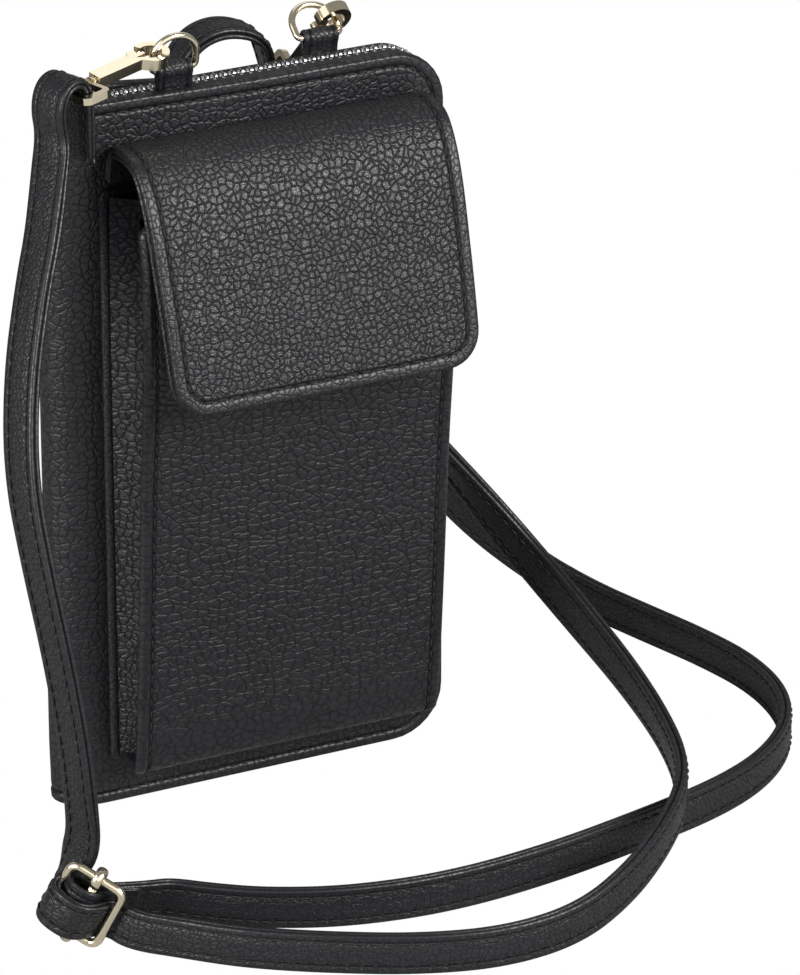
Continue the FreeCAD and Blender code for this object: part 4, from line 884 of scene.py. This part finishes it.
class POUCH_OT_pocket(bpy.types.Operator):
    """Phone pocket: back wall, folded gussets and the front panel with its rolled edges"""

    bl_idname = "pouch.pocket"
    bl_label = "Phone pocket"

    def execute(self, context):
        leather = finish(context, "pouch leather")
        half = POCKET_OUTER.length / 2
        front = Panel(POCKET_WIDTH, POCKET_OUTER.length, (2.0, 3.0, 3.0, 2.0),
                      bent_place(POCKET_OUTER, POCKET_HALF, POCKET_CENTRE, swell=0.3), POCKET_HALF,
                      step=1.6, rim=0.25, seed=2.0, stretch=(0.66, 0.85),
                      fade=lambda s, t: 1 - 0.75 * step_up(136, 150, half - t))
        panel = front.build("pocket_panel", leather, "leather")
        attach(panel, "wallet")
        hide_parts("pocket_front")
        sides = front.seam(lambda s, t: np.abs(s) > POCKET_WIDTH / 2 - 3.6)
        threads = sew(context, "pocket_stitches", sides)
        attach(threads, "wallet")
        # Painted shade: the wall's upper part loses its shine, so that it reads dark as if under the flap's
        # shadow.
        back = Panel(POCKET_WIDTH + 2 * WALL_MARGIN, WALL_HEIGHT, (3.0,) * 4, wall_place, 0.9, step=3.0,
                     seed=3.0, painted_shade=lambda s, t: 0.9 * step_up(45, 78, t))
        sheet = back.build("pocket_wall", leather, "leather")
        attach(sheet, "wallet")
        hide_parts("pocket_back")
        for side, name in ((-1, "left"), (1, "right")):
            # Painted shade: each gusset's upper part loses its shine, so that it reads dark as if in the
            # flap's shadow.
            fold = Panel(GUSSET_WIDTH, GUSSET_HEIGHT, (1.0,) * 4, gusset_place(side), 0.45, step=1.5, rim=0.0,
                         groove=0.0, stitch=1.0, seed=4.0 + side, stretch=(0.85, 0.85),
                         painted_shade=lambda s, t: 0.9 * step_up(30, 70, t))
            gusset = fold.build("gusset_cloth_" + name, leather, "leather")
            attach(gusset, "wallet")
            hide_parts("pocket_gusset_" + name)
        return {"FINISHED"}


def split_object(whole, keep, name):
    """Move the faces whose middles pass keep(points) to a new object; both keep the normals of the whole."""
    mesh = whole.data
    normals = np.empty(len(mesh.vertices) * 3, np.float32)
    mesh.vertex_normals.foreach_get("vector", normals)
    normals = normals.reshape(-1, 3)
    other = whole.copy()
    other.data = mesh.copy()
    other.name = name
    bpy.context.scene.collection.objects.link(other)
    middles = np.empty(len(mesh.polygons) * 3, np.float32)
    mesh.polygons.foreach_get("center", middles)
    chosen = keep(middles.reshape(-1, 3) / MM)
    for piece, mask in ((whole, chosen), (other, ~chosen)):
        kept = piece.data.attributes.new("whole_normal", "FLOAT_VECTOR", "POINT")
        kept.data.foreach_set("vector", normals.ravel())
        work = bmesh.new()
        work.from_mesh(piece.data)
        work.faces.ensure_lookup_table()
        bmesh.ops.delete(work, geom=[work.faces[i] for i in np.flatnonzero(mask)], context="FACES")
        work.to_mesh(piece.data)
        work.free()
        kept = piece.data.attributes["whole_normal"]
        values = np.empty(len(piece.data.vertices) * 3, np.float32)
        kept.data.foreach_get("vector", values)
        piece.data.attributes.remove(kept)
        piece.data.normals_split_custom_set_from_vertices(values.reshape(-1, 3).tolist())
    return other


class POUCH_OT_flap(bpy.types.Operator):
    """Flap: two leaves over the pocket, sewn round the edge and shaped over the hinge, each split in two
    across the top
    """

    bl_idname = "pouch.flap"
    bl_label = "Flap"

    def execute(self, context):
        leather = finish(context, "pouch leather")
        taper = 1 - FLAP_FOOT / FLAP_TOP
        half = FLAP_OUTER.length / 2
        shape = (FLAP_TOP, FLAP_OUTER.length, (9.0, 1.0, 1.0, 9.0))
        leaf = bent_place(FLAP_OUTER, FLAP_HALF, FLAP_MIDDLE, taper, swell=0.6, part=-FLAP_PART)
        outer = Panel(*shape, leaf, FLAP_HALF, step=1.5, rim=0.12, stitch=3.4, seed=6.0, curl=0.8,
                      sewn=lambda s, t: 1 - step_up(half - 16, half - 8, t),
                      fade=lambda s, t: 0.75 + 0.25 * step_up(16, 48, half - t))
        under = bent_place(FLAP_OUTER, 2 * FLAP_HALF + LINING_HALF, FLAP_MIDDLE, taper, swell=0.6)
        inner = Panel(*shape, under, LINING_HALF, step=2.5, seed=7.0)
        pieces = [
            (outer.build("flap_leaf", leather, "leather"), "flap_top"),
            (inner.build("flap_lining_leaf", leather, "leather"), "flap_lining_top"),
            (sew(context, "flap_stitches", outer.seam(lambda s, t: t < half - 8)), "flap_top_stitches"),
        ]
        for whole, name in pieces:
            upper = split_object(whole, lambda p: p[:, 1] > FLAP_SPLIT, name)
            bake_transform(whole)
            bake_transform(upper)
        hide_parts("flap_leather")
        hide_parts("flap_lining", "flap_magnet")
        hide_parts("flap_bridge")
        return {"FINISHED"}


class POUCH_OT_zip(bpy.types.Operator):
    """Zip: woven tapes and two rows of teeth round three sides"""

    bl_idname = "pouch.zip"
    bl_label = "Zip"

    def execute(self, context):
        for side, name in ((-1, "front"), (1, "back")):
            panel = Panel(TAPE_WIDTH, ZIP.length, (0.5,) * 4, tape_place(side), 0.35, step=0.8, rim=0.0,
                          groove=0.0, stitch=0.6, seed=8.0 + side)
            tape = panel.build("tape_" + name, finish(context, "zip tape"), "tape")
            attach(tape, "wallet")
            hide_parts("zip_tape_" + name)
            teeth = new_object("teeth_" + name, *tooth_points(side), finish(context, "zip teeth"), "teeth")
            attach(teeth, "wallet")
            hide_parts("zip_teeth_" + name)
        return {"FINISHED"}


TAB_WIDTH, TAB_HALF = 9.2, 0.55
TAB_REACH, TAB_LEG, TAB_NECK = 1.55, 0.45, 3.0
TAB_OUT, TAB_FOOT = 4.0, 183.0
TABS = ((-1, "front", -18.3, 194.0), (1, "back", 24.5, 192.6))


def tab_loop(y, z):
    """A tab's middle line in the YZ plane: up to a ring's bar at y and z, round it and down again."""
    turn = np.radians(np.linspace(200, -20, 25))
    arc = np.column_stack((y + TAB_REACH * np.cos(turn), z + TAB_REACH * np.sin(turn)))
    up = [[y - TAB_LEG, TAB_FOOT], [y - TAB_LEG, z - TAB_NECK]]
    down = [[y + TAB_LEG, z - TAB_NECK], [y + TAB_LEG, TAB_FOOT]]
    return Curve(smooth_path(np.vstack((up, arc, down)), 3))


def tab_place(x, loop):
    """place() for a tab: s along the ring's bar, t along the loop from its middle."""

    def place(s, t):
        distance = t + loop.length / 2
        flat, heading = loop.at(distance), loop.heading(distance)
        normal = np.column_stack((np.zeros(len(s)), -heading[:, 1], heading[:, 0]))
        return np.column_stack((x + s, flat)), normal

    return place


class POUCH_OT_tabs(bpy.types.Operator):
    """Tabs: leather strips folded over the bars of the two rings"""

    bl_idname = "pouch.tabs"
    bl_label = "Tabs"

    def execute(self, context):
        for side, name, x, z in TABS:
            loop = tab_loop(side * TAB_OUT, z)
            panel = Panel(TAB_WIDTH, loop.length, (0.5,) * 4, tab_place(x, loop), TAB_HALF, step=0.8, rim=0.0,
                          groove=0.1, stitch=1.4, seed=10.0 + side)
            tab = panel.build("tab_loop_" + name, finish(context, "strap leather"), "leather")
            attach(tab, "wallet")
            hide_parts("tab_" + name)
        return {"FINISHED"}


def slide_points(across=19.6, along=16.8, wire=1.15, corner=2.2, curl=2.1, sides=28):
    """The slide: a rounded rectangle of round wire, and a bar whose ends are curled round the wire."""
    flat = rounded(along - 2 * wire, across - 2 * wire, (corner,) * 4, 0.0, 2.0)
    path = SLIDE_MIDDLE + flat[:, :1] * SLIDE_ALONG + flat[:, 1:] * SLIDE_BAR
    ahead = unit(np.roll(path, -1, axis=0) - np.roll(path, 1, axis=0))
    up = np.tile(SLIDE_NORMAL, (len(path), 1))
    pieces = [sweep(path, np.cross(ahead, up), up, round_section(wire), closed=True)]
    ends = [SLIDE_MIDDLE + SLIDE_BAR * (across / 2 - wire) * sign for sign in (-1, 1)]
    pieces.append(rod(*ends, wire))
    turn = np.linspace(0, 2 * np.pi, sides, endpoint=False)[:, None]
    ring = SLIDE_BAR * np.cos(turn) + SLIDE_NORMAL * np.sin(turn)
    collar = round_section(curl - wire) * (1.0, 1.5)
    for end in ends:
        pieces.append(sweep(end + ring * curl, ring, np.tile(SLIDE_ALONG, (sides, 1)), collar, closed=True))
    return join(*pieces)


class POUCH_OT_slide(bpy.types.Operator):
    """Strap slide: a polished wire frame and its bar"""

    bl_idname = "pouch.slide"
    bl_label = "Strap slide"

    def execute(self, context):
        slide = new_object("slide", *slide_points(), finish(context, "fittings"), "gold")
        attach(slide, "wallet")
        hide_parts("slide_frame", "slide_bar")
        return {"FINISHED"}


SLIM = 0.66
NECK_START, NECK_END = -1.0, -0.4
CLAW_START, CLAW_END, CLAW_EASE = 14.0, 17.0, 0.65


def slim_points(node, swivel, gate, height):
    """A hook's CAD points drawn in towards the gate's pivot, and its faces.

    They are drawn in to SLIM across the hook and to height in its plane, less so at the claw, from the neck
    of the post on. The swivel's axis runs along the hook, and the gate's across it.
    """
    points = np.empty(len(node.data.vertices) * 3, np.float32)
    node.data.vertices.foreach_get("co", points)
    ahead, across = unit(np.array(swivel["axis"])), unit(np.array(gate["axis"]))
    axes = np.stack((ahead, np.cross(across, ahead), across))
    base = np.array(swivel["pos_m"])
    local = (points.reshape(-1, 3) - base) @ axes.T / MM
    pivot = (np.array(gate["pos_m"]) - base) @ axes[1] / MM
    ease = step_up(NECK_START, NECK_END, local[:, 0])
    shrink = (1 - height) * (1 - CLAW_EASE * step_up(CLAW_START, CLAW_END, local[:, 0]))
    local[:, 1] -= ease * shrink * (local[:, 1] - pivot)
    local[:, 2] *= 1 - ease * (1 - SLIM)
    node.data.calc_loop_triangles()
    faces = np.empty(len(node.data.loop_triangles) * 3, np.int32)
    node.data.loop_triangles.foreach_get("vertices", faces)
    return local @ axes + base / MM, faces.reshape(-1, 3)


def sharpen(piece, degrees=35):
    """Keep the edges sharp where faces meet at more than an angle."""
    piece.data.set_sharp_from_angle(angle=math.radians(degrees))


class POUCH_OT_hooks(bpy.types.Operator):
    """Snap hooks: slender bodies with their gates and pins"""

    bl_idname = "pouch.hooks"
    bl_label = "Snap hooks"

    def execute(self, context):
        metal = finish(context, "fittings")
        joints = {joint["name"]: joint for joint in frame["record"]["behaviour"]["joints"]}
        for side in ("front", "back"):
            swivel, gate = joints[side + "_hook_swivel"], joints[side + "_gate"]
            for node, body, height in (("hook_", "hook_" + side, SLIM), ("gate_pin_", "hook_" + side, 1.0),
                                       ("gate_", "gate_" + side, 1.0), ("eye_", "wallet", SLIM)):
                points, faces = slim_points(frame["nodes"][node + side], swivel, gate, height)
                made = new_object("slim_" + node + side, points, faces, metal, "gold")
                sharpen(made)
                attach(made, body)
                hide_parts(node + side)
        return {"FINISHED"}


class POUCH_OT_metal(bpy.types.Operator):
    """Fittings: finishes of the CAD nodes that show as they are, and cards for the polished ones to mirror"""

    bl_idname = "pouch.metal"
    bl_label = "Fittings"

    def execute(self, context):
        finishes = {"gold": "fittings", "teeth": "zip teeth", "leather": "thread", "lining": "lining",
                    "board": "lining", "tape": "lining", "magnet": "zip teeth"}
        slots = {part["node"]: part["material_slot"] for part in frame["record"]["subparts"]}
        for name, node in frame["nodes"].items():
            if node.hide_render:
                continue
            node.data.materials.clear()
            node.data.materials.append(finish(context, finishes[slots[name]]))
            node.data.polygons.foreach_set("use_smooth", [True] * len(node.data.polygons))
            sharpen(node)
        shiny = bpy.data.collections.new("fittings")
        metal = finish(context, "fittings")
        for made in context.scene.objects:
            if made.type == "MESH" and metal in made.data.materials[:]:
                shiny.objects.link(made)
        for name in CARDS:
            bpy.data.objects[name].light_linking.receiver_collection = shiny
        return {"FINISHED"}


CAMERA_PLACE = Vector((-0.6086, -1.3512, 0.7673))
CAMERA_AHEAD = Vector((0.3945, 0.8160, -0.4226))
CAMERA_RIGHT = Vector((0.9003, -0.4352, 0.0))
CAMERA_LENS, CAMERA_SENSOR = 240.0, 36.0
LIGHT_TARGET = Vector((0.0, -0.02, 0.1))
CARDS = ("card front", "card left", "card back")
CARD_SIZE = 1.8
FLOOR_REACH, FLOOR_LEVEL = 3.0, -0.0002


def area_light(name, place, size, watts):
    """A round lamp in metres that looks at the pouch."""
    data = bpy.data.lights.new(name, "AREA")
    data.shape = "DISK"
    data.size = size
    data.energy = watts
    made = bpy.data.objects.new(name, data)
    made.location = place
    made.rotation_euler = (LIGHT_TARGET - Vector(place)).to_track_quat("-Z", "Y").to_euler()
    bpy.context.scene.collection.objects.link(made)
    return made


def add_camera(scene):
    """The photograph's view, with a long lens."""
    camera = bpy.data.objects.new("camera", bpy.data.cameras.new("camera"))
    camera.data.sensor_fit = "VERTICAL"
    camera.data.sensor_height = CAMERA_SENSOR
    camera.data.lens = CAMERA_LENS
    up = CAMERA_RIGHT.cross(CAMERA_AHEAD)
    turn = Matrix((CAMERA_RIGHT, up, -CAMERA_AHEAD)).transposed().to_4x4()
    camera.matrix_world = Matrix.Translation(CAMERA_PLACE) @ turn
    scene.collection.objects.link(camera)
    scene.camera = camera
    return camera


def add_floor(scene, stage):
    """A floor that the camera sees as the backdrop, and that throws light back in its own colour."""
    mesh = bpy.data.meshes.new("floor")
    corners = ((-1, -1), (1, -1), (1, 1), (-1, 1))
    points = [(x * FLOOR_REACH, y * FLOOR_REACH, FLOOR_LEVEL) for x, y in corners]
    mesh.from_pydata(points, [], [(0, 1, 2, 3)])
    floor = bpy.data.objects.new("floor", mesh)
    scene.collection.objects.link(floor)
    material, tree, shader = new_material("floor")
    shader.inputs["Base Color"].default_value = stage.bounce
    shader.inputs["Roughness"].default_value = 0.9
    glow = add(tree, "ShaderNodeEmission", {"Color": stage.backdrop, "Strength": 1.0})
    seen = add(tree, "ShaderNodeLightPath").outputs["Is Camera Ray"]
    mix = add(tree, "ShaderNodeMixShader", links={0: seen, 1: shader.outputs[0], 2: glow.outputs[0]})
    tree.links.new(mix.outputs[0], tree.nodes["Material Output"].inputs["Surface"])
    mesh.materials.append(material)
    return floor


def add_sky(scene, stage):
    """Even light all round, which the camera sees at full strength as the backdrop."""
    world = bpy.data.worlds.new("sky")
    world.use_nodes = True
    tree = world.node_tree
    seen = add(tree, "ShaderNodeLightPath").outputs["Is Camera Ray"]
    strength = math_node(tree, "MAXIMUM", seen, stage.sky)
    background = tree.nodes["Background"]
    background.inputs["Color"].default_value = stage.backdrop
    tree.links.new(strength, background.inputs["Strength"])
    scene.world = world


class POUCH_OT_stage(bpy.types.Operator):
    """Stage: the photograph's camera, soft lights and a white floor"""

    bl_idname = "pouch.stage"
    bl_label = "Stage"

    def execute(self, context):
        scene = context.scene
        stage = scene.pouch_stage
        scene.view_settings.view_transform = "Standard"
        camera = add_camera(scene)
        lights = [
            area_light("key", (0.62, -1.3, 0.95), 0.9, stage.key),
            area_light("fill", (-1.3, -0.5, 0.6), 0.7, stage.fill),
            area_light("top", (0.35, 0.6, 1.3), 0.9, stage.top),
            area_light(CARDS[0], (-0.2, -1.4, 0.5), CARD_SIZE, stage.card),
            area_light(CARDS[1], (-1.4, -0.2, 0.8), CARD_SIZE, stage.card),
            area_light(CARDS[2], (0.7, 1.4, 0.8), CARD_SIZE, stage.back_card),
        ]
        floor = add_floor(scene, stage)
        add_sky(scene, stage)
        return {"FINISHED"}


class POUCH_PT_panel(bpy.types.Panel):
    """Sidebar panel with the settings and the building steps"""

    bl_label = "Phone pouch"
    bl_space_type = "VIEW_3D"
    bl_region_type = "UI"
    bl_category = "Pouch"

    def draw(self, context):
        for group in (context.scene.pouch_look, context.scene.pouch_stage):
            for key in group.__annotations__:
                self.layout.prop(group, key)
        for step in STEPS:
            self.layout.operator(step.bl_idname)


STEPS = (POUCH_OT_stage, POUCH_OT_strap, POUCH_OT_cover, POUCH_OT_pocket, POUCH_OT_flap, POUCH_OT_zip,
         POUCH_OT_tabs, POUCH_OT_slide, POUCH_OT_hooks, POUCH_OT_metal)
CLASSES = (PouchLook, PouchStage, *STEPS, POUCH_PT_panel)


def register():
    """Make the settings, the operators and the panel known."""
    for each in CLASSES:
        bpy.utils.register_class(each)
    bpy.types.Scene.pouch_look = PointerProperty(type=PouchLook)
    bpy.types.Scene.pouch_stage = PointerProperty(type=PouchStage)


def unregister():
    """Take them away again."""
    del bpy.types.Scene.pouch_stage
    del bpy.types.Scene.pouch_look
    for each in reversed(CLASSES):
        bpy.utils.unregister_class(each)


def main():
    """Build every piece in order."""
    register()
    for step in STEPS:
        group, name = step.bl_idname.split(".")
        getattr(getattr(bpy.ops, group), name)()


if __name__ == "__main__":
    main()
